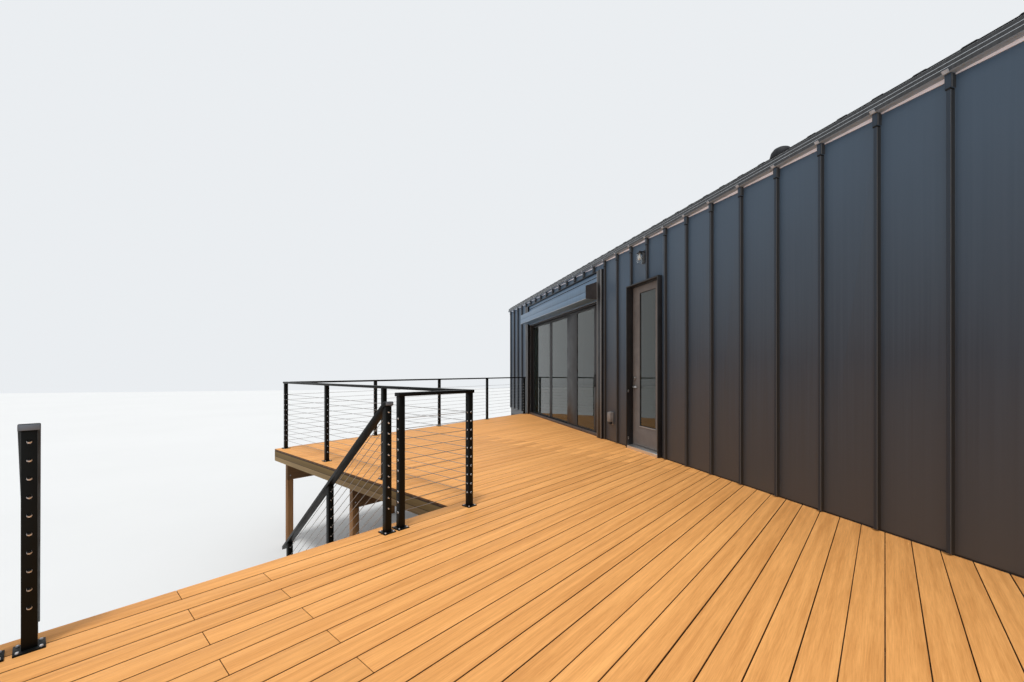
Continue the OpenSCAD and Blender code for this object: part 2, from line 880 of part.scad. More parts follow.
// Where each beam lies: its outer face, its wall end and its free end in the deck's frame
beams_at = [
    for (k = [-2 : 2])
        let (x = k * beam_step)
        [
            x,
            at_cabin(x - beam_t, 80),
            x > 0 ? -beam_back : min(side_len - beam_back, at_near_end(x - beam_t, 120))
        ]
];

module beams() {
    color("saddlebrown")
        deck_frame()
            for (b = beams_at)
                translate([b[0] - beam_t, b[1], beam_z])
                    cube([beam_t, b[2] - b[1], beam_h]);
}

module deck_posts() {
    color("sienna")
        deck_frame()
            for (b = beams_at) {
                y0 = b[1] + post_first;
                y1 = b[2] - post_last;
                count = ceil((y1 - y0) / post_span);
                for (k = [0 : count])
                    translate([
                        b[0] - (beam_t + post_w) / 2, y0 + k * (y1 - y0) / count - post_w / 2, 0
                    ])
                        cube([post_w, post_w, beam_z]);
            }
}

// Stair

tread_top = [for (k = [1 : riser_count - 1]) deck_h - k * step_rise];

module stringers() {
    top = deck_h - step_rise - board_t;
    low = top - stringer_throat;
    steps = riser_count - 1;
    points = concat(
        [[0, low], [low * step_run / step_rise, 0], [steps * step_run, 0]],
        [
            for (k = [steps : -1 : 1])
                for (side = [0, 1])
                    [(k - side) * step_run, top - (k - 1) * step_rise]
        ]
    );
    color("saddlebrown")
        deck_frame()
            for (y = [stair_mid - tread_len / 2, stair_mid - joist_t / 2, stair_mid + tread_len / 2 - joist_t])
                translate([0, y + joist_t, 0])
                    rotate([90, 0, 0]) linear_extrude(joist_t) polygon(points);
}

module treads() {
    color("peru")
        deck_frame()
            for (k = [1 : riser_count - 1])
                translate([(k - 1) * step_run, stair_mid - tread_len / 2, deck_h - k * step_rise - board_t])
                    cube([step_run + nosing, tread_len, board_t]);
}

// Guards

module base_plate() {
    translate([-plate_w / 2, -plate_w / 2, 0]) cube([plate_w, plate_w, plate_t]);
}

module guard_post(h) {
    base_plate();
    translate([-steel_w / 2, -steel_w / 2, 0]) cube([steel_w, steel_w, h]);
}

// A guard along +X: posts where asked, a top rail from r0 to r1 and cables between c0 and c1
module guard_run(posts, r0, r1, c0, c1) {
    for (x = posts) translate([x, 0, 0]) guard_post(guard_h - rail_t + 1);
    translate([r0, -rail_w / 2, guard_h - rail_t]) cube([r1 - r0, rail_w, rail_t]);
    for (k = [0 : cable_count - 1])
        translate([c0, 0, cable_first + k * cable_step])
            rotate([0, 90, 0]) cylinder(d = cable_w, h = c1 - c0, $fn = 8);
}

module guard_between(p, q) {
    d = q - p;
    translate([p[0], p[1], deck_h]) rotate(atan2(d[1], d[0])) children();
}

// How far a base plate turned to a run along d reaches towards the cabin
function plate_reach(d) = plate_w / 2 * (abs(d[0]) + abs(d[1])) / norm(d);
corner_post = on_deck(-post_inset, -post_inset);
far_post = on_deck(front_len - corner_inset, -post_inset);
wall_post = at_y(
    far_post, far_post + far_wall - far_corner,
    face_y - surround_d - plate_gap - plate_reach(far_wall - far_corner)
);
twin_post = on_deck(-post_inset, twin_first);
near_twin = on_deck(-post_inset, stair_post_near + twin_gap);
near_far_post = on_deck(-post_inset, side_len - post_inset);
near_end_post = on_deck(-near_edge_len + post_inset * 1.6, side_len - post_inset);
near_wall_post = [near_end_post[0], face_y - rib_d - plate_gap - plate_reach([0, 1])];

module guard_front() {
    len = norm(far_post - corner_post);
    color("black")
        guard_between(corner_post, far_post)
            guard_run(
                [0, len / 3, 2 * len / 3, len], -rail_w / 2, len + rail_w / 2, 0, len
            );
}

// Room that a run leaves at a post that it shares, where it meets the other run at an angle
function corner_room(w, turn) = w / 2 * (1 + abs(sin(turn))) / abs(cos(turn)) + seat;

module guard_far() {
    d = wall_post - far_post;
    len = norm(d);
    off = abs(atan2(d[1], d[0]) - atan2((corner_post - far_post)[1], (corner_post - far_post)[0])) - 90;
    color("black")
        guard_between(far_post, wall_post)
            guard_run(
                [len / 4, len / 2, len * 3 / 4, len], corner_room(rail_w, off), len + steel_w / 2,
                corner_room(steel_w, off), len
            );
}

module guard_corner() {
    len = norm(twin_post - corner_post);
    color("black")
        guard_between(corner_post, twin_post)
            guard_run([len], rail_w / 2 + seat, len + rail_w / 2, steel_w / 2 + seat, len);
}

// One side of the stair's guard: +X runs down the stair from its top post
module stair_guard() {
    drop = tan(slope);
    foot = stair_post_low + 120;
    mid_z = -floor((stair_post_mid - post_inset) / step_run + 1) * step_rise;
    guard_post(stair_rail_h - rail_t / 2);
    translate([stair_post_mid, 0, mid_z])
        guard_post(stair_rail_h - rail_t - stair_post_mid * drop - mid_z + 10);
    translate([stair_post_low, 0, -deck_h])
        guard_post(stair_rail_h - rail_t - stair_post_low * drop + deck_h + 10);
    translate([0, rail_w / 2, 0])
        rotate([90, 0, 0])
            linear_extrude(rail_w)
                polygon([
                    [-rail_w / 2, stair_rail_h - rail_t], [-rail_w / 2, stair_rail_h],
                    [0, stair_rail_h], [foot, stair_rail_h - foot * drop],
                    [foot, stair_rail_h - foot * drop - rail_t / cos(slope)],
                    [0, stair_rail_h - rail_t / cos(slope)]
                ]);
    for (k = [0 : cable_count - 1])
        translate([0, 0, stair_cable_first + k * cable_step])
            rotate([0, 90 + slope, 0])
                cylinder(d = cable_w, h = stair_post_low / cos(slope), $fn = 8);
}

module stair_guards() {
    color("black")
        deck_frame()
            for (y = [stair_post_far, stair_post_near])
                translate([-post_inset, y, deck_h]) stair_guard();
}

module guards_near() {
    color("black") {
        len_a = norm(near_far_post - near_twin);
        guard_between(near_twin, near_far_post)
            guard_run([0, len_a], -rail_w / 2, len_a + rail_w / 2, 0, len_a);
        len_b = norm(near_end_post - near_far_post);
        guard_between(near_far_post, near_end_post)
            guard_run(
                [len_b / 2, len_b], rail_w / 2 + seat, len_b + rail_w / 2,
                steel_w / 2 + seat, len_b
            );
        len_c = norm(near_wall_post - near_end_post);
        guard_between(near_end_post, near_wall_post)
            guard_run(
                [len_c / 3, len_c * 2 / 3, len_c], corner_room(rail_w, deck_turn), len_c + steel_w / 2,
                corner_room(steel_w, deck_turn), len_c
            );
    }
}

foundation_side_walls();
foundation_end_walls();
floor();
wall_front_far();
wall_front_mid();
wall_front_near();
wall_over_slider();
wall_over_door();
wall_back();
walls_end();
cladding_far();
cladding_mid();
cladding_near();
cladding_over_slider();
cladding_over_door();
cladding_back();
cladding_ends();
eave_trim();
roof_slab();
roof_sheet();
roof_vent();
slider_surround();
slider_frame();
slider_fixed_panels();
slider_fixed_glass();
slider_hood();
header_band();
sliding_panel();
sliding_glass();
door_frame();
door_threshold();
door_leaf();
door_glass();
door_lever();
wall_lamp();
outlet_cover();
decking_far();
decking_near();
rim_boards();
rim_boards_front();
ledger();
joists();
beams();
deck_posts();
stringers();
treads();
guard_far();
guard_front();
guard_corner();
stair_guards();
guards_near();
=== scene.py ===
import math
import random

import bmesh
import bpy
from mathutils import Matrix, Vector


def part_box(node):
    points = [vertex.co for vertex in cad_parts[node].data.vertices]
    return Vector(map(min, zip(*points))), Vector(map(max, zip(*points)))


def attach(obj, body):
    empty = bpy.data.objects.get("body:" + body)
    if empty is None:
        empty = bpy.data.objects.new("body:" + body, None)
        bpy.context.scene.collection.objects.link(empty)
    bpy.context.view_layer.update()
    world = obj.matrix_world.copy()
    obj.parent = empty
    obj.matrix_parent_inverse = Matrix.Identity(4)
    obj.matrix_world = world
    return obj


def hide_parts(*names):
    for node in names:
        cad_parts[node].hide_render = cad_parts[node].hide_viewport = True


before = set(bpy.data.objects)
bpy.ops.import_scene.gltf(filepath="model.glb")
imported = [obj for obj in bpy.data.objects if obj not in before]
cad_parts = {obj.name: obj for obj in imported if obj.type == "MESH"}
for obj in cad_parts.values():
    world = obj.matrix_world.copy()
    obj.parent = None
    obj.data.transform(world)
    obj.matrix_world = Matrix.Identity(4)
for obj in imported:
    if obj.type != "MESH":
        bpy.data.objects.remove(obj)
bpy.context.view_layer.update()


# Foundation walls.
# Plain masonry walls with a trowelled cement coat carry the cabin. The coat is painted
# charcoal and stained where rain splashes up from the ground.
SPLASH_HEIGHT = 0.42


def add(tree, kind, sockets=None, **settings):
    """A shader node whose sockets are set to values or joined to other nodes' outputs."""
    node = tree.nodes.new("ShaderNode" + kind)
    for key, value in settings.items():
        setattr(node, key, value)
    for key, value in (sockets or {}).items():
        if isinstance(value, bpy.types.NodeSocket):
            tree.links.new(value, node.inputs[key])
        else:
            node.inputs[key].default_value = value
    return node


def colour(red, green, blue):
    return (red, green, blue, 1.0)


def object_place(tree):
    return tree.nodes.new("ShaderNodeTexCoord").outputs["Object"]


def new_finish(name, roughness, metallic=0.0, specular=0.5):
    """A material with its node tree, its shader and its coordinates on the object."""
    finish = bpy.data.materials.new(name)
    finish.use_nodes = True
    tree = finish.node_tree
    shader = tree.nodes["Principled BSDF"]
    shader.inputs["Roughness"].default_value = roughness
    shader.inputs["Metallic"].default_value = metallic
    shader.inputs["Specular IOR Level"].default_value = specular
    return finish, tree, shader, object_place(tree)


def stretched(tree, place, scale, turn=0.0):
    """Coordinates turned about the vertical and then scaled by axis."""
    turned = add(tree, "Mapping", {"Vector": place, "Rotation": (0, 0, -turn)})
    return add(tree, "Mapping", {"Vector": turned.outputs[0], "Scale": scale}).outputs[0]


def spread(tree, value, low, high, from_low=0.0, from_high=1.0):
    """A value mapped from one range to another and held inside it."""
    return add(tree, "MapRange", {
        "Value": value, "From Min": from_low, "From Max": from_high, "To Min": low, "To Max": high,
    }).outputs["Result"]


def mixed(tree, share, first, second, blend="MIX"):
    node = add(tree, "Mix", data_type="RGBA", blend_type=blend)
    for key, value in ((0, share), (6, first), (7, second)):
        if isinstance(value, bpy.types.NodeSocket):
            tree.links.new(value, node.inputs[key])
        else:
            node.inputs[key].default_value = value
    return node.outputs[2]


def calc(tree, operation, *values):
    """The result of one sum on one or two values."""
    return add(tree, "Math", dict(enumerate(values)), operation=operation).outputs[0]


def height_in(tree, place):
    return add(tree, "SeparateXYZ", {"Vector": place}).outputs["Z"]


def facing(tree):
    """The direction that a face looks in, by axis."""
    return add(tree, "SeparateXYZ", {"Vector": add(tree, "NewGeometry").outputs["Normal"]}).outputs


def paint(tree, shader, value):
    tree.links.new(value, shader.inputs["Base Color"])


def relief(tree, shader, height, distance, strength=1.0):
    bump = add(tree, "Bump", {"Height": height, "Distance": distance, "Strength": strength})
    tree.links.new(bump.outputs[0], shader.inputs["Normal"])


def new_group(name, inputs, outputs):
    """An empty node group with named inputs and outputs."""
    group = bpy.data.node_groups.new(name, "ShaderNodeTree")
    for label, kind, value in inputs:
        socket = group.interface.new_socket(label, in_out="INPUT", socket_type="NodeSocket" + kind)
        if value is not None:
            socket.default_value = value
    for label, kind in outputs:
        group.interface.new_socket(label, in_out="OUTPUT", socket_type="NodeSocket" + kind)
    return group, group.nodes.new("NodeGroupInput"), group.nodes.new("NodeGroupOutput")


def blotch_group():
    """Soft uneven patches with a fine grain in them."""
    group, given, made = new_group(
        "blotches",
        [("Vector", "Vector", None), ("Patch", "Float", 1.0), ("Grain", "Float", 60.0)],
        [("Patches", "Float"), ("Grain", "Float")],
    )
    patch = add(group, "TexNoise", {
        "Vector": given.outputs["Vector"], "Scale": given.outputs["Patch"], "Detail": 4.0, "Roughness": 0.6,
    })
    grain = add(group, "TexNoise", {
        "Vector": given.outputs["Vector"], "Scale": given.outputs["Grain"], "Detail": 3.0,
    })
    group.links.new(spread(group, patch.outputs[0], 0, 1, 0.32, 0.68), made.inputs["Patches"])
    group.links.new(grain.outputs[0], made.inputs["Grain"])
    return group


BLOTCHES = blotch_group()


def blotches(tree, place, patch, grain):
    node = add(tree, "Group", node_tree=BLOTCHES)
    tree.links.new(place, node.inputs["Vector"])
    node.inputs["Patch"].default_value = patch
    node.inputs["Grain"].default_value = grain
    return node.outputs["Patches"], node.outputs["Grain"]


def mottled(name, roughness, scales, dark, light, bump=0.0, **settings):
    """A finish that varies softly between two tones, with a fine grain raised on it."""
    finish, tree, shader, place = new_finish(name, roughness, **settings)
    patches, grain = blotches(tree, place, *scales)
    paint(tree, shader, mixed(tree, patches, colour(*dark), colour(*light)))
    if bump:
        relief(tree, shader, grain, bump)
    return finish


def cement_coat():
    finish, tree, shader, place = new_finish("cement_coat", 0.9)
    patches, grain = blotches(tree, place, 1.4, 90.0)
    coat = mixed(tree, patches, colour(0.050, 0.052, 0.054), colour(0.075, 0.077, 0.079))
    ragged = calc(tree, "ADD", height_in(tree, place), spread(tree, patches, -0.12, 0.12))
    splash = spread(tree, ragged, 0.75, 0.0, 0.0, SPLASH_HEIGHT)
    paint(tree, shader, mixed(tree, splash, coat, colour(0.13, 0.115, 0.095)))
    relief(tree, shader, grain, 0.004)
    return finish


def dress(finish, *nodes):
    """Gives CAD nodes that stay as they are their finish."""
    for node in nodes:
        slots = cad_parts[node].material_slots
        if not slots:
            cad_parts[node].data.materials.append(finish)
        for slot in slots:
            slot.material = finish


dress(cement_coat(), "foundation_side_walls", "foundation_end_walls")


# Floor and lining.
# Sealed boards 180 mm wide run along the cabin, on a floor frame whose edge is painted dark.
# The walls and the ceiling are lined with painted board, with a faint roller texture.
PLANK_WIDTH = 0.18
PLANK_LENGTH = 2.4


def indoor_boards():
    finish, tree, shader, place = new_finish("indoor_boards", 0.42)
    planks = add(tree, "TexBrick", {
        "Vector": place, "Scale": 1.0, "Brick Width": PLANK_LENGTH, "Row Height": PLANK_WIDTH,
        "Mortar Size": 0.0012, "Color1": colour(0.36, 0.24, 0.15), "Color2": colour(0.50, 0.36, 0.24),
        "Mortar": colour(0.06, 0.04, 0.03),
    })
    fibres = add(tree, "TexNoise", {
        "Vector": stretched(tree, place, (1.5, 40, 40)), "Scale": 2.0, "Detail": 6.0,
    })
    shade = spread(tree, fibres.outputs[0], 0.75, 1.2, 0.3, 0.7)
    toned = mixed(tree, 1.0, planks.outputs["Color"], shade, "MULTIPLY")
    edge = spread(tree, calc(tree, "ABSOLUTE", facing(tree)["Z"]), 1, 0, 0.4, 0.6)
    paint(tree, shader, mixed(tree, edge, toned, colour(0.030, 0.032, 0.035)))
    relief(tree, shader, fibres.outputs[0], 0.0006)
    return finish


dress(indoor_boards(), "floor")
LINING_PAINT = mottled(
    "lining_paint", 0.75, (0.9, 220.0), (0.74, 0.73, 0.70), (0.80, 0.79, 0.76), 0.0008,
)
dress(
    LINING_PAINT, "wall_front_far", "wall_front_mid", "wall_front_near", "wall_over_slider",
    "wall_over_door", "wall_back", "walls_end", "roof_slab",
)


# Cladding.
# Steel pans 457 mm wide with standing ribs between them, folded from charcoal coated
# sheet. The sheet is slightly uneven, so its gloss waves, and rain leaves faint streaks.
END_BAND = (7.24, 7.26)
RIB_FRONT = (-0.1447, -0.1420)
FOLD_LINE = -0.1410
LIT_FOOT_BAND = (1.5, 2.9)
SKY_REFLECTION_BAND = (2.9, 4.9)


def streak_group():
    """Upright streaks of dust and rain, with slow waves in the sheet behind them."""
    group, given, made = new_group(
        "sheet_weather",
        [("Vector", "Vector", None), ("Width", "Float", 55.0)],
        [("Streaks", "Float"), ("Waves", "Float"), ("Specks", "Float")],
    )
    wide = add(group, "CombineXYZ", {
        "X": given.outputs["Width"], "Y": given.outputs["Width"], "Z": 0.55,
    })
    drawn = add(group, "VectorMath", {0: given.outputs["Vector"], 1: wide.outputs[0]}, operation="MULTIPLY")
    streaks = add(group, "TexNoise", {"Vector": drawn.outputs[0], "Scale": 1.0, "Detail": 5.0})
    slow = add(group, "VectorMath", {0: given.outputs["Vector"], 1: (2.6, 2.6, 0.9)}, operation="MULTIPLY")
    waves = add(group, "TexNoise", {"Vector": slow.outputs[0], "Scale": 1.0, "Detail": 1.5})
    specks = add(group, "TexNoise", {"Vector": given.outputs["Vector"], "Scale": 420.0, "Detail": 2.0})
    group.links.new(spread(group, streaks.outputs[0], 0, 1, 0.35, 0.7), made.inputs["Streaks"])
    group.links.new(waves.outputs[0], made.inputs["Waves"])
    group.links.new(spread(group, specks.outputs[0], 0, 1, 0.66, 0.78), made.inputs["Specks"])
    return group


SHEET_WEATHER = streak_group()


def rib_tones(tree, place, coat):
    """Painted shade darkens the ribs' sides and fronts, and a painted highlight lightens a line along each
    side near the front.
    """
    where = add(tree, "SeparateXYZ", {"Vector": place}).outputs
    inside = spread(tree, calc(tree, "ABSOLUTE", where["X"]), 1, 0, *END_BAND)
    turned_away = calc(tree, "ABSOLUTE", facing(tree)["X"])
    # Painted shade: the ribs' sides, turned away from the light, go brown black.
    side = calc(tree, "MULTIPLY", spread(tree, turned_away, 0, 0.85, 0.75, 0.95), inside)
    # Painted shade: the ribs' fronts go a deeper blue.
    front = spread(tree, where["Y"], 0.8, 0, *RIB_FRONT)
    coat = mixed(tree, front, coat, colour(0.020, 0.032, 0.050))
    coat = mixed(tree, side, coat, colour(0.040, 0.038, 0.034))
    # Painted highlight: a light line along each side, near the rib's front arris.
    off_fold = calc(tree, "ABSOLUTE", calc(tree, "SUBTRACT", where["Y"], FOLD_LINE))
    arris_highlight = calc(tree, "MULTIPLY", spread(tree, off_fold, 0.9, 0, 0.0025, 0.005), side)
    return mixed(tree, arris_highlight, coat, colour(0.22, 0.23, 0.24))


def coated_steel(name, dark, light, roughness, specular, wave_depth=0.004, speck=0.25, with_painted_light=False):
    """Charcoal coated sheet: a dark and a light tone, and how far the sheet waves."""
    finish, tree, shader, place = new_finish(name, roughness, specular=specular)
    weather = add(tree, "Group", node_tree=SHEET_WEATHER)
    tree.links.new(place, weather.inputs["Vector"])
    coat = mixed(tree, weather.outputs["Streaks"], dark, light)
    if with_painted_light:
        waves = spread(tree, weather.outputs["Waves"], -0.3, 0.3)
        ragged = calc(tree, "ADD", height_in(tree, place), waves)
        # Painted reflection: the sheet turns lighter and bluer towards the top, for the sky it mirrors.
        high = spread(tree, ragged, 0, 0.75, *SKY_REFLECTION_BAND)
        coat = mixed(tree, high, coat, colour(0.080, 0.132, 0.198))
        # Painted light: the sheet turns lighter towards its foot, for the bright deck below it.
        foot = spread(tree, ragged, 0.8, 0, *LIT_FOOT_BAND)
        coat = mixed(tree, foot, coat, colour(0.092, 0.096, 0.104))
        coat = rib_tones(tree, place, coat)
    share = spread(tree, weather.outputs["Specks"], 0, speck)
    dusty = mixed(tree, share, coat, colour(0.16, 0.16, 0.16))
    paint(tree, shader, dusty)
    gloss = spread(tree, weather.outputs["Streaks"], roughness - 0.03, roughness + 0.06)
    tree.links.new(gloss, shader.inputs["Roughness"])
    relief(tree, shader, weather.outputs["Waves"], wave_depth)
    return finish


def new_piece(name, bm, finish, body="root", stands_for=(), crease=35):
    """Turns a bmesh into a finished piece that rides on a body."""
    mesh = bpy.data.meshes.new(name)
    bm.to_mesh(mesh)
    bm.free()
    mesh.materials.append(finish)
    mesh.polygons.foreach_set("use_smooth", [True] * len(mesh.polygons))
    mesh.set_sharp_from_angle(angle=math.radians(crease))
    piece = bpy.data.objects.new(name, mesh)
    bpy.context.scene.collection.objects.link(piece)
    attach(piece, body)
    if stands_for:
        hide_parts(*stands_for)
    return piece


def bevelled(bm, width, segments=1, crease=35, edges=None):
    """Rounds the sharp edges of a bmesh, or the edges given."""
    chosen = edges
    if chosen is None:
        chosen = [
            e for e in bm.edges
            if len(e.link_faces) == 2 and e.calc_face_angle() > math.radians(crease)
        ]
    bmesh.ops.bevel(
        bm, geom=chosen, offset=width, affect="EDGES", segments=segments, profile=0.5,
        material=-1, clamp_overlap=True,
    )


def folded_copy(node):
    """A CAD node's mesh as whole flat faces, ready for its edges to be rounded."""
    bm = bmesh.new()
    bm.from_mesh(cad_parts[node].data)
    bmesh.ops.remove_doubles(bm, verts=bm.verts, dist=1e-5)
    bmesh.ops.dissolve_limit(bm, angle_limit=math.radians(1), verts=bm.verts, edges=bm.edges)
    return bm


def eased(node, width, finish, body="root", segments=1, crease=35):
    """Stands a copy of a CAD node with rounded edges in its place."""
    bm = folded_copy(node)
    bevelled(bm, width, segments, crease)
    return new_piece(node + "_eased", bm, finish, body, (node,))


CHARCOAL = coated_steel(
    "charcoal_steel", colour(0.042, 0.060, 0.088), colour(0.054, 0.075, 0.108), 0.42, 0.28, 0.003, 0.2, True,
)
CLADDING = (
    "cladding_far", "cladding_mid", "cladding_near", "cladding_over_slider",
    "cladding_over_door", "cladding_back", "cladding_ends",
)
for clad_part in CLADDING:
    eased(clad_part, 0.003, CHARCOAL, segments=2)


# Eave flashing.
# Folded flashing in 3 m lengths closes the top of the cladding, with two small folds along
# its face. Riveted plates cover the joints between the lengths.
EAVE_DEPTH = 0.066
EAVE_FACE = (
    (-0.040, 0.000), (0.060, 0.000), (0.066, 0.005), (0.066, 0.036), (0.060, 0.043), (0.060, 0.070),
    (0.054, 0.077), (0.054, 0.102), (0.050, 0.105), (-0.040, 0.105), (-0.040, 0.102), (0.048, 0.102),
    (0.051, 0.0995), (0.051, 0.076), (0.057, 0.069), (0.057, 0.042), (0.063, 0.035), (0.063, 0.0065),
    (0.0585, 0.003), (-0.040, 0.003),
)
PLATE_STEP = 3.05
PLATE_SHIFT = 0.4
eave_low, eave_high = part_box("eave_trim")
face_y = eave_low.y + EAVE_DEPTH
back_y = eave_high.y - EAVE_DEPTH
half_len = eave_high.x - EAVE_DEPTH
mid_y = (face_y + back_y) / 2


def flashing_steel():
    """Charcoal coat with a painted highlight on its sloped folds and painted bounce light on its undersides.
    """
    finish, tree, shader, place = new_finish("flashing_steel", 0.42, specular=0.25)
    weather = add(tree, "Group", node_tree=SHEET_WEATHER)
    tree.links.new(place, weather.inputs["Vector"])
    coat = mixed(
        tree, weather.outputs["Streaks"], colour(0.040, 0.044, 0.048), colour(0.062, 0.067, 0.072),
    )
    upward = facing(tree)["Z"]
    # Painted highlight: the up-facing sloped folds are made a light grey.
    rising = spread(tree, upward, 0, 1, 0.35, 0.5)
    falling = spread(tree, upward, 1, 0, 0.8, 0.9)
    fold_highlight = calc(tree, "MULTIPLY", rising, falling)
    with_fold_highlight = mixed(tree, fold_highlight, coat, colour(0.42, 0.44, 0.46))
    # Painted light: the down-facing undersides are made a pale blue, for light bounced up from the deck.
    under = spread(tree, upward, 1, 0, -0.9, -0.5)
    paint(tree, shader, mixed(tree, under, with_fold_highlight, colour(0.29, 0.36, 0.44)))
    relief(tree, shader, weather.outputs["Waves"], 0.002)
    return finish


def swept_round(bm, profile, base_z, half_x, front_y, rear_y):
    """A closed profile swept round a rectangle, mitred at the four corners."""
    rings = []
    for sx, sy in ((-1, -1), (1, -1), (1, 1), (-1, 1)):
        corner_y = front_y if sy < 0 else rear_y
        ring = [bm.verts.new((sx * (half_x + out), corner_y + sy * out, base_z + up)) for out, up in profile]
        rings.append([bm.edges.new((ring[k], ring[(k + 1) % len(ring)])) for k in range(len(ring))])
    for k in range(4):
        bmesh.ops.bridge_loops(bm, edges=rings[k] + rings[(k + 1) % 4])
    bmesh.ops.recalc_face_normals(bm, faces=bm.faces)


def add_box(bm, low, high, ease=0.0, segments=1, turn=None, place=None):
    """A box with rounded edges, turned or placed if a matrix is given."""
    size = Vector(high) - Vector(low)
    middle = (Vector(high) + Vector(low)) / 2
    matrix = (place or Matrix.Identity(4)) @ Matrix.Translation(middle)
    matrix = matrix @ (turn or Matrix.Identity(4)) @ Matrix.Diagonal((*size, 1))
    corners = bmesh.ops.create_cube(bm, size=1, matrix=matrix)["verts"]
    if ease:
        edges = list(dict.fromkeys(e for v in corners for e in v.link_edges))
        bevelled(bm, ease, segments, edges=edges)
    return corners


def aimed(point, along, place=None):
    """A place at a point whose Z runs along a direction."""
    matrix = (place or Matrix.Identity(4)) @ Matrix.Translation(point)
    return matrix @ Vector(along).to_track_quat("Z", "Y").to_matrix().to_4x4()


def add_dome(bm, place, along, radius, height, segments=10):
    """A low rivet or screw head that stands on a surface."""
    bmesh.ops.create_cone(
        bm, cap_ends=True, segments=segments, radius1=radius, radius2=radius * 0.6, depth=height,
        matrix=aimed(Vector(place) + Vector(along) * height / 2, along),
    )


FLASHING = flashing_steel()
eave = bmesh.new()
swept_round(eave, EAVE_FACE, eave_low.z, half_len, face_y, back_y)
new_piece("eave_flashing", eave, FLASHING, stands_for=("eave_trim",))

joint_plates = bmesh.new()
for side, front in ((-1, eave_low.y), (1, eave_high.y)):
    for k in range(-2, 3):
        middle_x = k * PLATE_STEP + PLATE_SHIFT
        low_y, high_y = sorted((front - side * 0.003, front + side * 0.0012))
        add_box(
            joint_plates, (middle_x - 0.05, low_y, eave_low.z + 0.007),
            (middle_x + 0.05, high_y, eave_low.z + 0.034), 0.0008,
        )
        for shift in (-0.03, 0.03):
            rivet = (middle_x + shift, front + side * 0.001, eave_low.z + 0.020)
            add_dome(joint_plates, rivet, (0, side, 0), 0.004, 0.002)
new_piece("eave_joint_plates", joint_plates, FLASHING)


# Pan closures.
# A strip of light metal closes the top of each pan under the eave, painted near white as a highlight. Each
# rib's cap has a small tab that is folded up over the flashing, painted light blue grey as a reflection, and
# a near-black strip under its foot as painted shade.
RIB_PITCH = 0.4572
RIB_START = 0.1
RIB_COUNT = 32
CAP_HALF = 0.019
CAP_FOOT = 4.705
RIB_FACE = 0.150
TAB_TILT = 38


# Painted highlight: the closures are near white, for the light they catch under the eave.
CLOSURE_HIGHLIGHT_METAL = mottled(
    "closure_highlight_metal", 0.4, (9.0, 300.0), (0.88, 0.84, 0.90), (0.98, 0.95, 1.0), 0.0003,
)
tilt = Matrix.Rotation(math.radians(TAB_TILT), 4, "X")
closures = bmesh.new()
tabs = bmesh.new()
foot_shade_strips = bmesh.new()
for k in range(RIB_COUNT):
    rib = -half_len + RIB_START + k * RIB_PITCH
    if k < RIB_COUNT - 1:
        left, right = rib + CAP_HALF - 0.006, rib + RIB_PITCH - CAP_HALF + 0.006
        corners = add_box(
            closures, (left, face_y - 0.007, eave_low.z - 0.031),
            (right, face_y - 0.0002, eave_low.z - 0.0004),
        )
        for corner in corners:
            if corner.co.x < left + 0.001 and corner.co.z < eave_low.z - 0.02:
                corner.co.z += 0.021
    add_box(
        tabs, (rib - CAP_HALF, face_y - EAVE_DEPTH - 0.009, eave_low.z - 0.006),
        (rib + CAP_HALF, face_y - EAVE_DEPTH - 0.006, eave_low.z + 0.020), 0.0008, turn=tilt,
    )
    add_box(
        foot_shade_strips, (rib - 0.0140, -RIB_FACE - 0.0015, CAP_FOOT - 0.011),
        (rib + 0.0140, -RIB_FACE + 0.042, CAP_FOOT + 0.001), 0.001,
    )
for bm in (closures, tabs, foot_shade_strips):
    copy = bmesh.ops.duplicate(bm, geom=bm.verts[:] + bm.edges[:] + bm.faces[:])["geom"]
    bmesh.ops.rotate(
        bm, cent=(0, mid_y, 0), matrix=Matrix.Rotation(math.pi, 3, "Z"),
        verts=[part for part in copy if isinstance(part, bmesh.types.BMVert)],
    )
new_piece("pan_closures", closures, CLOSURE_HIGHLIGHT_METAL)
# Painted reflection: the tabs are light blue grey, for the sky they reflect.
new_piece("rib_cap_tabs", tabs, coated_steel(
    "tab_sky_reflection", colour(0.34, 0.38, 0.43), colour(0.44, 0.48, 0.54), 0.36, 0.4,
))


# Near black, for the strips that stand in for lines of shade.
SHADE_LINE_BLACK = mottled(
    "shade_line_black", 0.7, (14.0, 500.0), (0.006, 0.006, 0.006), (0.015, 0.015, 0.014), 0.0003, specular=0.2,
)
# Painted shade: the near-black strip under each cap's foot stands in for the shade line there.
new_piece("rib_cap_shade_strips", foot_shade_strips, SHADE_LINE_BLACK)


# Roof.
# The container's own roof closes the top: 6 mm of corrugated steel, painted and dusty, and made near black
# as painted shade, behind a near-black edge strip that stands in for the line of shade along the roof's
# edge. A small round cowl on a flange lets air out near the front.
# Painted shade: the roof's dark paint is made near black for the shade it is seen in.
ROOF_PAINT_AND_SHADE = coated_steel(
    "roof_paint_and_shade", colour(0.012, 0.013, 0.016), colour(0.024, 0.026, 0.030), 0.6, 0.2, 0.002, 0.3,
)
eased("roof_sheet", 0.001, ROOF_PAINT_AND_SHADE)
EDGE_OUT = 0.014
EDGE_OUT_END = 0.012
EDGE_STRIP = ((-0.006, 0.100), (0.0, 0.100), (0.0, 0.136), (-0.002, 0.138), (-0.006, 0.138))
# Painted shade: a near-black strip along the roof's edge stands in for the line of shade there.
edge_shade_strip = bmesh.new()
swept_round(
    edge_shade_strip, EDGE_STRIP, eave_low.z, half_len + EDGE_OUT_END, face_y - EDGE_OUT, back_y + EDGE_OUT,
)
new_piece("roof_edge_shade_strip", edge_shade_strip, SHADE_LINE_BLACK)


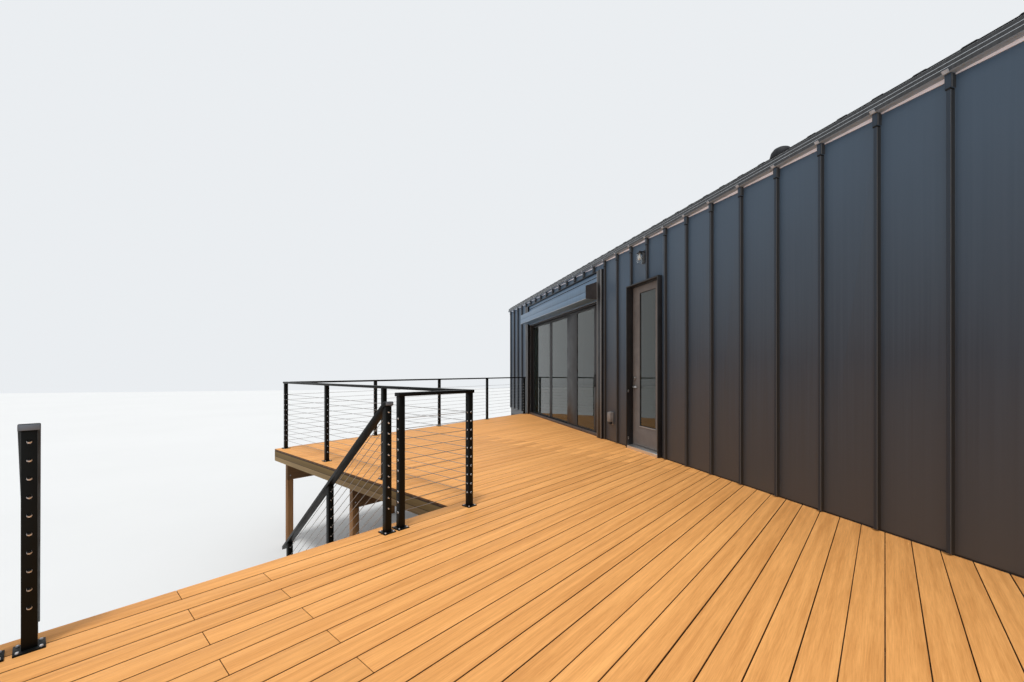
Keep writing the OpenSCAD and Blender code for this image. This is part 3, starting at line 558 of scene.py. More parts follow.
def turned(name, profile, centre, finish, slot, segments=32, stands_for=()):
    """A round piece turned about an upright axis from a radius and height profile."""
    bm = bmesh.new()
    line = [bm.verts.new((radius, 0, up)) for radius, up in profile]
    edges = [bm.edges.new(pair) for pair in zip(line, line[1:])]
    bmesh.ops.spin(
        bm, geom=line + edges, cent=(0, 0, 0), axis=(0, 0, 1), angle=math.tau, steps=segments,
        use_merge=True,
    )
    bmesh.ops.remove_doubles(bm, verts=bm.verts, dist=1e-6)
    bmesh.ops.recalc_face_normals(bm, faces=bm.faces)
    bm.transform(Matrix.Translation(centre))
    return new_piece(name, bm, finish, stands_for=stands_for)


vent_low, vent_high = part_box("roof_vent")
vent_top = vent_high.z - vent_low.z
turned("vent_cowl", (
    (0.0, 0.002), (0.148, 0.002), (0.150, 0.0), (0.150, 0.006), (0.090, 0.012), (0.080, 0.020),
    (0.080, vent_top - 0.120), (0.104, vent_top - 0.120), (0.110, vent_top - 0.112),
    (0.110, vent_top - 0.092), (0.100, vent_top - 0.055),
    (0.076, vent_top - 0.024), (0.040, vent_top - 0.006), (0.0, vent_top),
), (*((vent_low + vent_high) / 2).xy, vent_low.z), ROOF_PAINT_AND_SHADE, "roof_steel", stands_for=("roof_vent",))


# Sliding door.
# Black coated aluminium: a deep surround, a frame with a sill, two fixed panels and one
# panel that slides in front of them. Rubber beads hold the glass.
def black_coat(name="black_coat", tone=0.013, roughness=0.4, specular=0.25, tint=(1.0, 1.0, 1.08)):
    finish, tree, shader, place = new_finish(name, roughness, specular=specular)
    patches, grain = blotches(tree, place, 5.0, 700.0)
    dark = colour(*(tone * share for share in tint))
    light = colour(*(tone * 1.5 * share for share in tint))
    paint(tree, shader, mixed(tree, patches, dark, light))
    tree.links.new(spread(tree, patches, roughness - 0.05, roughness + 0.1), shader.inputs["Roughness"])
    relief(tree, shader, grain, 0.0002)
    return finish


def clear_glass():
    finish, tree, shader, place = new_finish("clear_glass", 0.015)
    smears = add(tree, "TexNoise", {"Vector": place, "Scale": 3.0, "Detail": 4.0})
    tree.links.new(spread(tree, smears.outputs[0], 0.01, 0.04, 0.4, 0.8), shader.inputs["Roughness"])
    # The dark green tint is partly the glass's own and partly a painted reflection of green surroundings.
    tint = mixed(tree, smears.outputs[0], colour(0.13, 0.17, 0.15), colour(0.16, 0.20, 0.18))
    paint(tree, shader, tint)
    shader.inputs["Transmission Weight"].default_value = 0.9
    shader.inputs["IOR"].default_value = 1.5
    return finish


BLACK = black_coat()
GLASS = clear_glass()
BEAD = mottled("rubber_bead", 0.7, (12.0, 500.0), (0.010, 0.010, 0.010), (0.02, 0.02, 0.02), 0.0003)
BEAD_SEAT = 0.0117
BEAD_WIDTH = 0.007
GLASS_BACKSET = 0.0103
SILL_BAND = (1.574, 1.576)


def sill_coat():
    """The same black, with a sill that feet have scuffed to a brown grey."""
    finish, tree, shader, place = new_finish("sill_coat", 0.45, specular=0.25)
    patches, grain = blotches(tree, place, 5.0, 700.0)
    black = mixed(tree, patches, colour(0.012, 0.012, 0.013), colour(0.020, 0.020, 0.022))
    scuffed = mixed(tree, patches, colour(0.075, 0.058, 0.050), colour(0.120, 0.094, 0.082))
    low = spread(tree, height_in(tree, place), 1, 0, *SILL_BAND)
    paint(tree, shader, mixed(tree, low, black, scuffed))
    relief(tree, shader, grain, 0.0002)
    return finish


def solid_boxes(node):
    """The lowest and highest corners of each separate solid of a CAD node."""
    bm = folded_copy(node)
    left = set(bm.verts)
    boxes = []
    while left:
        found = {left.pop()}
        edge = list(found)
        while edge:
            vert = edge.pop()
            for other in (e.other_vert(vert) for e in vert.link_edges):
                if other in left:
                    left.discard(other)
                    found.add(other)
                    edge.append(other)
        low = Vector([min(v.co[k] for v in found) for k in range(3)])
        high = Vector([max(v.co[k] for v in found) for k in range(3)])
        boxes.append((low, high))
    bm.free()
    return sorted(boxes, key=lambda pair: tuple(pair[0]))


surround_low, surround_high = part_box("slider_surround")
frame_low, frame_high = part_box("slider_frame")
# Painted highlight: light grey strips along the edges of the surround's legs stand in for the light caught
# on their arrises.
arris_highlights = bmesh.new()
for left in (surround_low.x + 0.001, frame_low.x - 0.022, frame_high.x - 0.002, surround_high.x - 0.025):
    add_box(
        arris_highlights, (left, surround_low.y - 0.003, surround_low.z + 0.002),
        (left + 0.024, surround_low.y + 0.004, surround_high.z - 0.002), 0.0025, 2,
    )
new_piece("surround_arris_highlights", arris_highlights, coated_steel(
    "arris_highlight_steel", colour(0.19, 0.19, 0.19), colour(0.26, 0.255, 0.25), 0.4, 0.4,
))


def lift(bm, faces, offset):
    """Extrudes faces by an offset."""
    lifted = bmesh.ops.extrude_face_region(bm, geom=faces)["geom"]
    corners = [part for part in lifted if isinstance(part, bmesh.types.BMVert)]
    bmesh.ops.translate(bm, verts=corners, vec=offset)


def glass_beads(name, glass_node, panel_face, finish, body="root"):
    """A rectangular bead round each pane, from the glass out to just behind the panel's face."""
    bm = bmesh.new()
    for low, high in solid_boxes(glass_node):
        width = high.x - low.x - 2 * BEAD_SEAT
        height = high.z - low.z - 2 * BEAD_SEAT
        matrix = Matrix.Translation(((low.x + high.x) / 2, low.y, (low.z + high.z) / 2))
        matrix = matrix @ Matrix.Rotation(math.pi / 2, 4, "X") @ Matrix.Diagonal((width, height, 1, 1))
        made = bmesh.ops.create_grid(bm, x_segments=1, y_segments=1, size=0.5, matrix=matrix)["verts"]
        pane = list(dict.fromkeys(f for v in made for f in v.link_faces))
        ring = bmesh.ops.inset_region(
            bm, faces=pane, thickness=BEAD_WIDTH, use_boundary=True, use_even_offset=True,
        )["faces"]
        bmesh.ops.delete(bm, geom=pane, context="FACES")
        lift(bm, ring, (0, panel_face + 0.0015 - low.y, 0))
    bmesh.ops.recalc_face_normals(bm, faces=bm.faces)
    bevelled(bm, 0.0015)
    return new_piece(name, bm, finish, body)


for door_part in ("slider_surround", "slider_fixed_panels"):
    eased(door_part, 0.003, BLACK, segments=2)
eased("slider_frame", 0.003, sill_coat(), segments=2)
glass_beads("fixed_beads", "slider_fixed_glass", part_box("slider_fixed_panels")[0].y, BEAD)
glass_beads(
    "sliding_beads", "sliding_glass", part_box("sliding_glass")[0].y - GLASS_BACKSET, BEAD,
    "slider_panel",
)
eased("sliding_panel", 0.003, BLACK, "slider_panel", 2)
dress(GLASS, "slider_fixed_glass", "sliding_glass", "door_glass")


# Hood and header.
# A folded steel box shades the sliding door, with a groove along its front and a cap
# screwed on each end. A flat band joins it to the surround's head.
HOOD_STEEL = coated_steel(
    "hood_steel", colour(0.115, 0.190, 0.285), colour(0.145, 0.230, 0.340), 0.36, 0.3, 0.003,
)
eased("slider_hood", 0.003, HOOD_STEEL, segments=2)
eased("header_band", 0.002, HOOD_STEEL)
CAP_SHEET = 0.0025
hood_low, hood_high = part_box("slider_hood")
drip = bmesh.new()
add_box(
    drip, (hood_low.x + 0.002, hood_low.y - 0.0035, hood_low.z - 0.001),
    (hood_high.x - 0.002, hood_low.y + 0.006, hood_low.z + 0.010), 0.0025, 2,
)
new_piece("hood_drip_edge", drip, coated_steel(
    "drip_steel", colour(0.30, 0.36, 0.42), colour(0.38, 0.44, 0.50), 0.35, 0.4))
# Painted shade: near-black strips where the hood meets the band, and across the band below its top, stand in
# for shadow gaps.
shadow_gap_strips = bmesh.new()
band_low, band_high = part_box("header_band")
for low_z, high_z in (
    (hood_high.z - 0.004, hood_high.z + 0.012), (band_high.z - 0.085, band_high.z - 0.070),
):
    add_box(
        shadow_gap_strips, (band_low.x + 0.002, band_low.y - 0.004, low_z),
        (band_high.x - 0.002, band_low.y + 0.001, high_z), 0.0015,
    )
new_piece("header_shadow_gaps", shadow_gap_strips, SHADE_LINE_BLACK)


def hood_caps():
    """A plate over each end of the hood, cut to its outline, with four screws."""
    bm = folded_copy("slider_hood")
    low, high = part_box("slider_hood")
    ends = [f for f in bm.faces if abs(f.normal.x) > 0.99 and min(
        abs(f.calc_center_median().x - low.x), abs(f.calc_center_median().x - high.x)) < 1e-4]
    bmesh.ops.delete(bm, geom=[f for f in bm.faces if f not in ends], context="FACES")
    for face in list(bm.faces):
        outwards = 1 if face.calc_center_median().x > (low.x + high.x) / 2 else -1
        lift(bm, [face], (outwards * CAP_SHEET, 0, 0))
    bmesh.ops.recalc_face_normals(bm, faces=bm.faces)
    for side, x in ((-1, low.x - CAP_SHEET), (1, high.x + CAP_SHEET)):
        for y, z in ((low.y + 0.03, low.z + 0.035), (high.y - 0.03, low.z + 0.035),
                     (low.y + 0.03, low.z + 0.20), (high.y - 0.03, low.z + 0.24)):
            add_dome(bm, (x - side * 0.0003, y, z), (side, 0, 0), 0.0055, 0.0025)
    cap_coat = black_coat("cap_coat", 0.040, 0.45, 0.25, (1.1, 1.0, 1.0))
    return new_piece("hood_end_caps", bm, cap_coat)


hood_caps()


# Entry door.
# A steel-faced leaf with a narrow tall glass hangs on three hinges inside a proud
# surround. The threshold is mill aluminium, and the lever and bolt are satin nickel.
KEEPER_HEIGHTS = (1.68, 2.45)


def bare_metal(name, tone, roughness, brush=(8, 8, 220)):
    finish, tree, shader, place = new_finish(name, roughness, metallic=1.0)
    lines = add(tree, "TexNoise", {"Vector": stretched(tree, place, brush), "Scale": 3.0, "Detail": 4.0})
    light = colour(tone, tone * 0.99, tone * 0.97)
    dark = colour(tone * 0.8, tone * 0.79, tone * 0.77)
    paint(tree, shader, mixed(tree, lines.outputs[0], light, dark))
    tree.links.new(
        spread(tree, lines.outputs[0], roughness - 0.07, roughness + 0.1, 0.3, 0.7),
        shader.inputs["Roughness"],
    )
    return finish


NICKEL = bare_metal("satin_nickel", 0.62, 0.26)
CABLE_STEEL = bare_metal("cable_steel", 0.34, 0.34, (60, 60, 60))
ALUMINIUM = bare_metal("mill_aluminium", 0.78, 0.36, (3, 90, 90))
eased("door_frame", 0.003, BLACK, segments=2)
LEAF_COAT = black_coat("leaf_coat", 0.105, 0.5, 0.3, (1.10, 0.99, 0.93))
eased("door_leaf", 0.002, LEAF_COAT, "entry_door")
sill_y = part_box("door_leaf")[0].y
glass_beads("door_beads", "door_glass", sill_y + 0.0005, BEAD, "entry_door")
pane_low, pane_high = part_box("door_glass")
glass_sill = bmesh.new()
add_box(
    glass_sill, (pane_low.x + 0.004, sill_y - 0.0045, pane_low.z - 0.004),
    (pane_high.x - 0.004, sill_y + 0.002, pane_low.z + 0.010), 0.002, 2,
)
new_piece("door_glass_sill", glass_sill, black_coat(
    "glass_sill_coat", 0.24, 0.4, 0.4, (1.04, 1.0, 0.97)), "entry_door")
jamb_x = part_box("door_threshold")[0].x
keeper_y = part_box("door_frame")[0].y + 0.022
keepers = bmesh.new()
for keeper_z in KEEPER_HEIGHTS:
    add_box(
        keepers, (jamb_x - 0.0002, keeper_y, keeper_z - 0.022),
        (jamb_x + 0.0022, keeper_y + 0.020, keeper_z + 0.022), 0.0008,
    )
new_piece("door_keepers", keepers, NICKEL)
eased("door_threshold", 0.002, ALUMINIUM)
dress(NICKEL, "door_lever")


# Wall lamp.
# A small black lamp hangs from an arm on its wall plate: a clear glass under a shallow cap,
# with the bulb showing inside it.
def plain_glass():
    finish, tree, shader, place = new_finish("lamp_glass", 0.02)
    smears = add(tree, "TexNoise", {"Vector": place, "Scale": 20.0, "Detail": 2.0})
    tint = mixed(tree, smears.outputs[0], colour(0.90, 0.92, 0.92), colour(0.97, 0.98, 0.98))
    paint(tree, shader, tint)
    shader.inputs["Transmission Weight"].default_value = 1.0
    shader.inputs["IOR"].default_value = 1.45
    return finish


BULB_WHITE = mottled("bulb_white", 0.3, (40.0, 300.0), (0.88, 0.84, 0.76), (0.96, 0.93, 0.87))
lamp_low, lamp_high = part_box("wall_lamp")
lamp_x = (lamp_low.x + lamp_high.x) / 2
lamp_y = lamp_low.y + 0.046
lamp_top = lamp_high.z
lamp_mount = bmesh.new()
add_box(
    lamp_mount, (lamp_x - 0.048, lamp_high.y - 0.016, lamp_low.z + 0.02),
    (lamp_x + 0.048, lamp_high.y, lamp_top), 0.003, 2,
)
add_box(
    lamp_mount, (lamp_x - 0.009, lamp_y, lamp_top - 0.030),
    (lamp_x + 0.009, lamp_high.y - 0.010, lamp_top - 0.016), 0.003, 2,
)
for screw_z in (lamp_low.z + 0.045, lamp_top - 0.06):
    add_dome(lamp_mount, (lamp_x + 0.033, lamp_high.y - 0.016, screw_z), (0, -1, 0), 0.005, 0.003)
new_piece("lamp_mount", lamp_mount, BLACK, stands_for=("wall_lamp",))
turned("lamp_cap", (
    (0.0, lamp_top - 0.012), (0.014, lamp_top - 0.014), (0.018, lamp_top - 0.034), (0.040, lamp_top - 0.046),
    (0.044, lamp_top - 0.062), (0.041, lamp_top - 0.062), (0.036, lamp_top - 0.050), (0.0, lamp_top - 0.042),
), (lamp_x, lamp_y, 0), BLACK, "black_frame")
turned("lamp_glass", (
    (0.0395, lamp_top - 0.060), (0.0405, lamp_low.z + 0.030), (0.034, lamp_low.z + 0.010),
    (0.0, lamp_low.z + 0.004), (0.0, lamp_low.z + 0.007), (0.032, lamp_low.z + 0.013),
    (0.0380, lamp_low.z + 0.031), (0.0370, lamp_top - 0.060),
    (0.0395, lamp_top - 0.060),
), (lamp_x, lamp_y, 0), plain_glass(), "black_frame")
turned("lamp_bulb", (
    (0.0, lamp_top - 0.045), (0.013, lamp_top - 0.045), (0.013, lamp_top - 0.075), (0.020, lamp_top - 0.095),
    (0.027, lamp_top - 0.118), (0.026, lamp_top - 0.138), (0.017, lamp_top - 0.152), (0.0, lamp_top - 0.157),
), (lamp_x, lamp_y, 0), BULB_WHITE, "black_frame")


# Socket cover.
# A weatherproof box of grey plastic on the cladding. Its lid hangs from a barrel along the
# top edge, over a well for the plug that is coated black as painted shade under the lid.
LID_RISE = 0.060
GREY_PLASTIC = mottled(
    "grey_plastic", 0.5, (9.0, 600.0), (0.17, 0.155, 0.145), (0.24, 0.22, 0.205), 0.0003,
)
cover_low, cover_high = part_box("outlet_cover")
cover = bmesh.new()
add_box(
    cover, (cover_low.x, cover_high.y - 0.022, cover_low.z),
    (cover_high.x, cover_high.y, cover_high.z + LID_RISE), 0.004, 2,
)
add_box(
    cover, (cover_low.x + 0.006, cover_low.y + 0.004, cover_low.z + 0.052),
    (cover_high.x - 0.006, cover_high.y - 0.012, cover_high.z + LID_RISE - 0.010), 0.012, 3,
)
add_box(
    cover, (cover_low.x + 0.004, cover_low.y + 0.018, cover_high.z + LID_RISE - 0.016),
    (cover_high.x - 0.004, cover_high.y - 0.010, cover_high.z + LID_RISE - 0.004), 0.004, 2,
)
new_piece("outlet_box", cover, GREY_PLASTIC, stands_for=("outlet_cover",))
# Painted shade: the well is coated black for the shade under the lid.
shaded_well = bmesh.new()
add_box(
    shaded_well, (cover_low.x + 0.012, cover_low.y + 0.014, cover_low.z + 0.010),
    (cover_high.x - 0.012, cover_high.y - 0.014, cover_low.z + 0.056), 0.006, 2,
)
new_piece("outlet_shaded_well", shaded_well, BLACK)


# Decking.
# Composite boards 140 mm wide run beside the stair edge, with gaps of 3.5 to 8 mm. They
# butt over the joists, on two lines that alternate from board to board.
BOARD_PITCH = 0.145
BOARD_GAP = 0.005
BOARD_EASE = 0.003
JOINT_LINE = 1.602
JOINT_STAGGER = 0.405
BOARD_LENGTH = 12 * JOINT_STAGGER


def deck_corner(node, key):
    """The corner of a decking field that has the lowest value of a key."""
    return min((v.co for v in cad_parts[node].data.vertices), key=key).copy()


deck_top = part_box("decking_far")[1].z
deck_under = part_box("decking_far")[0].z
far_corner = deck_corner("decking_far", lambda p: p.y)
inner_corner = deck_corner("decking_far", lambda p: p.y - p.x)
front_edge = far_corner.xy - inner_corner.xy
deck_turn = math.atan2(front_edge.y, front_edge.x)
deck_place = Matrix.Translation((inner_corner.x, inner_corner.y, 0)) @ Matrix.Rotation(deck_turn, 4, "Z")
to_deck = deck_place.inverted()


def wood_group():
    """Long fibres along Y with a tone for each board."""
    group, given, made = new_group(
        "wood_grain",
        [
            ("Vector", "Vector", None), ("Tone", "Float", 0.5), ("Dark", "Color", colour(0.1, 0.06, 0.03)),
            ("Light", "Color", colour(0.3, 0.2, 0.1)), ("Fibre", "Float", 90.0), ("Length", "Float", 1.6),
        ],
        [("Color", "Color"), ("Height", "Float")],
    )
    scale = add(group, "CombineXYZ", {
        "X": given.outputs["Fibre"], "Y": given.outputs["Length"], "Z": given.outputs["Fibre"],
    })
    drawn = add(group, "VectorMath", {0: given.outputs["Vector"], 1: scale.outputs[0]}, operation="MULTIPLY")
    shift = add(group, "VectorMath", {0: drawn.outputs[0], 1: given.outputs["Tone"]}, operation="ADD")
    fine = add(group, "TexNoise", {
        "Vector": shift.outputs[0], "Scale": 1.0, "Detail": 7.0, "Roughness": 0.65,
    })
    broad = add(group, "TexNoise", {"Vector": shift.outputs[0], "Scale": 0.14, "Detail": 3.0})
    both = add(group, "Math", {0: fine.outputs[0], 1: broad.outputs[0]}, operation="ADD")
    grain = spread(group, both.outputs[0], 0, 1, 0.72, 1.3)
    tone = spread(group, given.outputs["Tone"], -0.14, 0.14)
    share = add(group, "Math", {0: grain, 1: tone}, operation="ADD", use_clamp=True)
    group.links.new(
        mixed(group, share.outputs[0], given.outputs["Dark"], given.outputs["Light"]), made.inputs["Color"],
    )
    group.links.new(fine.outputs[0], made.inputs["Height"])
    return group


WOOD_GRAIN = wood_group()


def wood(name, dark, light, roughness, depth, turn, fibre=90.0, length=1.6, axis="Y", toned=False):
    """Boards or timber whose grain runs along an axis of the deck's own frame."""
    finish, tree, shader, place = new_finish(name, roughness, specular=0.3)
    grain = add(tree, "Group", node_tree=WOOD_GRAIN)
    along = stretched(tree, place, (1, 1, 1), turn)
    if axis != "Y":
        parts = add(tree, "SeparateXYZ", {"Vector": along}).outputs
        order = {"X": ("Y", "X", "Z"), "Z": ("X", "Z", "Y")}[axis]
        along = add(tree, "CombineXYZ", {
            "X": parts[order[0]], "Y": parts[order[1]], "Z": parts[order[2]],
        }).outputs[0]
    tree.links.new(along, grain.inputs["Vector"])
    if toned:
        tone = add(tree, "Attribute", attribute_name="board_tone").outputs["Fac"]
    else:
        tone = add(tree, "TexNoise", {"Vector": place, "Scale": 0.8, "Detail": 1.0}).outputs[0]
    tree.links.new(tone, grain.inputs["Tone"])
    grain.inputs["Dark"].default_value = dark
    grain.inputs["Light"].default_value = light
    grain.inputs["Fibre"].default_value = fibre
    grain.inputs["Length"].default_value = length
    paint(tree, shader, grain.outputs["Color"])
    tree.links.new(
        spread(tree, grain.outputs["Height"], roughness - 0.08, roughness + 0.12, 0.3, 0.7),
        shader.inputs["Roughness"],
    )
    relief(tree, shader, grain.outputs["Height"], depth)
    return finish


def composite(name):
    return wood(
        name, colour(0.70, 0.300, 0.080), colour(1.0, 0.480, 0.150), 0.6, 0.0010, deck_turn,
        fibre=210.0, length=7.0, toned=True,
    )


COMPOSITE = composite("composite_board")


def board_edges(finish, top):
    """The boards' sides and rounded top edges are darker: partly the bare core's own colour, partly painted
    shade in the gaps.
    """
    tree = finish.node_tree
    shader = tree.nodes["Principled BSDF"]
    face = shader.inputs["Base Color"].links[0].from_socket
    height = height_in(tree, object_place(tree))
    low = spread(tree, height, 0.92, 0, top - 0.0036, top - 0.0006)
    paint(tree, shader, mixed(tree, low, face, colour(0.055, 0.024, 0.010)))


board_edges(COMPOSITE, deck_top)


def absorb(bm, part):
    """Adds a finished bmesh to another one."""
    mesh = bpy.data.meshes.new("part")
    part.to_mesh(mesh)
    part.free()
    bm.from_mesh(mesh)
    bpy.data.meshes.remove(mesh)


def add_board(bm, low, high, outline, tone):
    """One board in the deck's frame, cut along a field's outline and with rounded edges."""
    part = bmesh.new()
    add_box(part, low, high)
    for here, there in zip(outline, outline[1:] + outline[:1]):
        edge = there - here
        cut = bmesh.ops.bisect_plane(
            part, geom=part.verts[:] + part.edges[:] + part.faces[:], plane_co=(here.x, here.y, 0),
            plane_no=(edge.y, -edge.x, 0), clear_outer=True,
        )["geom_cut"]
        rim = [e for e in cut if isinstance(e, bmesh.types.BMEdge)]
        if rim:
            bmesh.ops.edgeloop_fill(part, edges=rim)
        if not part.faces:
            part.free()
            return
    bmesh.ops.dissolve_degenerate(part, edges=part.edges, dist=1e-4)
    bevelled(part, BOARD_EASE, 2)
    layer = part.verts.layers.float.new("board_tone")
    for vert in part.verts:
        vert[layer] = tone
    bmesh.ops.recalc_face_normals(part, faces=part.faces)
    absorb(bm, part)


def field_outline(node):
    """The corners of a decking field in the deck's frame, in turn and anticlockwise."""
    found = []
    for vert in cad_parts[node].data.vertices:
        point = (to_deck @ vert.co).xy
        if all((point - other).length > 1e-3 for other in found):
            found.append(point)
    centre = sum(found, Vector((0, 0))) / len(found)
    return sorted(found, key=lambda p: math.atan2(p.y - centre.y, p.x - centre.x))


def lay_boards(node, seed):
    outline = field_outline(node)
    tones = random.Random(seed)
    bm = bmesh.new()
    bm.verts.layers.float.new("board_tone")
    first = math.floor(min(p.x for p in outline) / BOARD_PITCH)
    last = math.ceil(max(p.x for p in outline) / BOARD_PITCH)
    low_y = min(p.y for p in outline)
    high_y = max(p.y for p in outline)
    for k in range(first, last):
        start = JOINT_LINE + (k % 2) * JOINT_STAGGER
        start -= math.ceil((start - low_y) / BOARD_LENGTH) * BOARD_LENGTH
        gap = BOARD_GAP * tones.uniform(0.7, 1.6)
        while start < high_y:
            low = (k * BOARD_PITCH + gap / 2, start + 0.001, deck_under)
            high = ((k + 1) * BOARD_PITCH - gap / 2, start + BOARD_LENGTH - 0.001, deck_top)
            add_board(bm, low, high, outline, tones.random())
            start += BOARD_LENGTH
    bm.transform(deck_place)
    return new_piece(node + "_boards", bm, COMPOSITE, stands_for=(node,))


lay_boards("decking_far", 11)
lay_boards("decking_near", 12)


# Deck frame.
# Treated timber: rim boards round the decking, a ledger on the cabin, joists, and doubled
# beams on square posts. The upper rims are olive brown and darker, partly from weathering and partly as
# painted shade under the decking's edge.
RIM_SPLIT = 1.404


def rim_boards():
    """A darker olive upper board over a paler lower one, the darkness partly weathering and partly painted
    shade under the decking's edge.
    """
    finish = wood(
        "rim_board", colour(0.22, 0.145, 0.066), colour(0.40, 0.275, 0.135), 0.75, 0.0012, deck_turn,
        fibre=60.0, axis="X",
    )
    tree = finish.node_tree
    shader = tree.nodes["Principled BSDF"]
    pale = shader.inputs["Base Color"].links[0].from_socket
    height = height_in(tree, object_place(tree))
    # Painted shade: the board above the split is darkened and turned olive, partly for weathering.
    shaded_olive = mixed(tree, 1.0, pale, colour(0.50, 0.46, 0.34), "MULTIPLY")
    upper = spread(tree, height, 0, 1, RIM_SPLIT - 0.001, RIM_SPLIT + 0.001)
    both = mixed(tree, upper, pale, shaded_olive)
    off_seam = calc(tree, "ABSOLUTE", calc(tree, "SUBTRACT", height, RIM_SPLIT))
    seam = spread(tree, off_seam, 1, 0, 0.0015, 0.004)
    # Painted shadow: a dark band along the rim's top, right under the boards' edge.
    shadow_under_boards = spread(tree, height, 0, 1, deck_under - 0.014, deck_under - 0.008)
    dark = calc(tree, "MAXIMUM", seam, shadow_under_boards)
    paint(tree, shader, mixed(tree, dark, both, colour(0.035, 0.022, 0.012)))
    return finish


RIM_BOARD = rim_boards()
JOIST_WOOD = wood(
    "joist_wood", colour(0.22, 0.14, 0.08), colour(0.45, 0.31, 0.18), 0.8, 0.001, deck_turn,
    fibre=70.0, axis="X",
)
BEAM_WOOD = wood(
    "beam_wood", colour(0.12, 0.062, 0.028), colour(0.27, 0.145, 0.064), 0.78, 0.001, deck_turn, fibre=55.0,
)
POST_WOOD = wood(
    "post_wood", colour(0.20, 0.090, 0.034), colour(0.40, 0.205, 0.082), 0.75, 0.001, deck_turn,
    fibre=60.0, axis="Z",
)
for edge_timber in ("rim_boards", "rim_boards_front", "ledger"):
    eased(edge_timber, 0.003, RIM_BOARD)
eased("joists", 0.002, JOIST_WOOD)
eased("beams", 0.003, BEAM_WOOD)
eased("deck_posts", 0.004, POST_WOOD, segments=2)
BOLT_HEAD = 0.011
BOLT_HEIGHTS = (0.07, 0.24)


def galvanised():
    finish, tree, shader, place = new_finish("galvanised", 0.45, metallic=1.0)
    spangle = add(tree, "TexVoronoi", {"Vector": place, "Scale": 160.0})
    shade = spread(tree, spangle.outputs["Distance"], 0.30, 0.55, 0.1, 0.7)
    paint(tree, shader, mixed(tree, shade, colour(0.30, 0.31, 0.32), colour(0.55, 0.56, 0.57)))
    return finish


def beam_bolts():
    """Bolt heads on both sides of each beam, over every post."""
    bm = bmesh.new()
    posts, beams = folded_copy("deck_posts"), folded_copy("beams")
    for timber in (posts, beams):
        timber.transform(to_deck)
        timber.normal_update()
    tops = [f for f in posts.faces if f.normal.z > 0.9]
    low_z = min(v.co.z for v in beams.verts)
    sides = sorted({round(f.calc_center_median().x, 4) for f in beams.faces if abs(f.normal.x) > 0.9})
    for top in tops:
        middle = top.calc_center_median()
        near = sorted(sides, key=lambda x: abs(x - middle.x))[:2]
        for x in near:
            for up in BOLT_HEIGHTS:
                add_dome(bm, (x, middle.y, low_z + up), (1 if x > middle.x else -1, 0, 0), BOLT_HEAD, 0.006)
    posts.free()
    beams.free()
    bm.transform(deck_place)
    return new_piece("beam_bolts", bm, galvanised())


beam_bolts()


# Stair.
# Three notched stringers carry seven treads of two composite boards each.
STRINGER_WOOD = wood(
    "stringer_wood", colour(0.11, 0.075, 0.042), colour(0.26, 0.18, 0.10), 0.78, 0.001, deck_turn,
    fibre=55.0, axis="X",
)
TREAD_BOARD = composite("tread_board")
eased("stringers", 0.002, STRINGER_WOOD)


def tread_boards():
    """Each tread as two boards, taken from the solids of the treads node."""
    bm = bmesh.new()
    bm.verts.layers.float.new("board_tone")
    tones = random.Random(21)
    places = [to_deck @ v.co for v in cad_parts["treads"].data.vertices]
    heights = sorted({round(p.z, 4) for p in places})
    for under, top in zip(heights[0::2], heights[1::2]):
        step = [p for p in places if abs(p.z - top) < 1e-3]
        x0, x1 = min(p.x for p in step), max(p.x for p in step)
        y0, y1 = min(p.y for p in step), max(p.y for p in step)
        middle = (x0 + x1) / 2
        outline = [Vector((x0, y0)), Vector((x1, y0)), Vector((x1, y1)), Vector((x0, y1))]
        for left, right in ((x0, middle - BOARD_GAP / 2), (middle + BOARD_GAP / 2, x1)):
            add_board(bm, (left, y0, under), (right, y1, top), outline, tones.random())
    bm.transform(deck_place)
    return new_piece("tread_boards", bm, TREAD_BOARD, stands_for=("treads",))


tread_boards()


# Guards.
# Black coated square posts on bolted base plates carry a flat top rail and ten stainless
# cables. Each cable ends in a dome nut and passes the other posts through ferrules.
GUARD_H = 1.085
RAIL_W = 0.070
RAIL_T = 0.030
STEEL_W = 0.051
PLATE_W = 0.100
PLATE_T = 0.008
POST_INSET = 0.140
FAR_INSET = 0.080
CABLE_COUNT = 10
CABLE_FIRST = 0.129
CABLE_STEP = 0.083
CABLE_R = 0.0025
DOME_R = 0.0095
FERRULE_R = 0.0075
TWIN_FIRST = 0.604
TWIN_GAP = 0.123
STAIR_MID = 1.643
STAIR_RAIL_H = 1.020
# The stair's lowest cable, 27 mm above the one in the solids.
STAIR_CABLE_FIRST = 0.172
STAIR_POST_MID = 0.967
STAIR_POST_LOW = 1.917
STAIR_FOOT = 0.120
RISERS = 8
STEP_RUN = 0.230
GUARD_BLACK = black_coat("guard_black", 0.004, 0.42, 0.13, (0.95, 1.1, 1.0))


FITTING_STEEL = mottled(
    "fitting_steel", 0.35, (60.0, 900.0), (0.62, 0.62, 0.64), (0.86, 0.86, 0.88), 0.0001,
    metallic=0.25, specular=0.6,
)


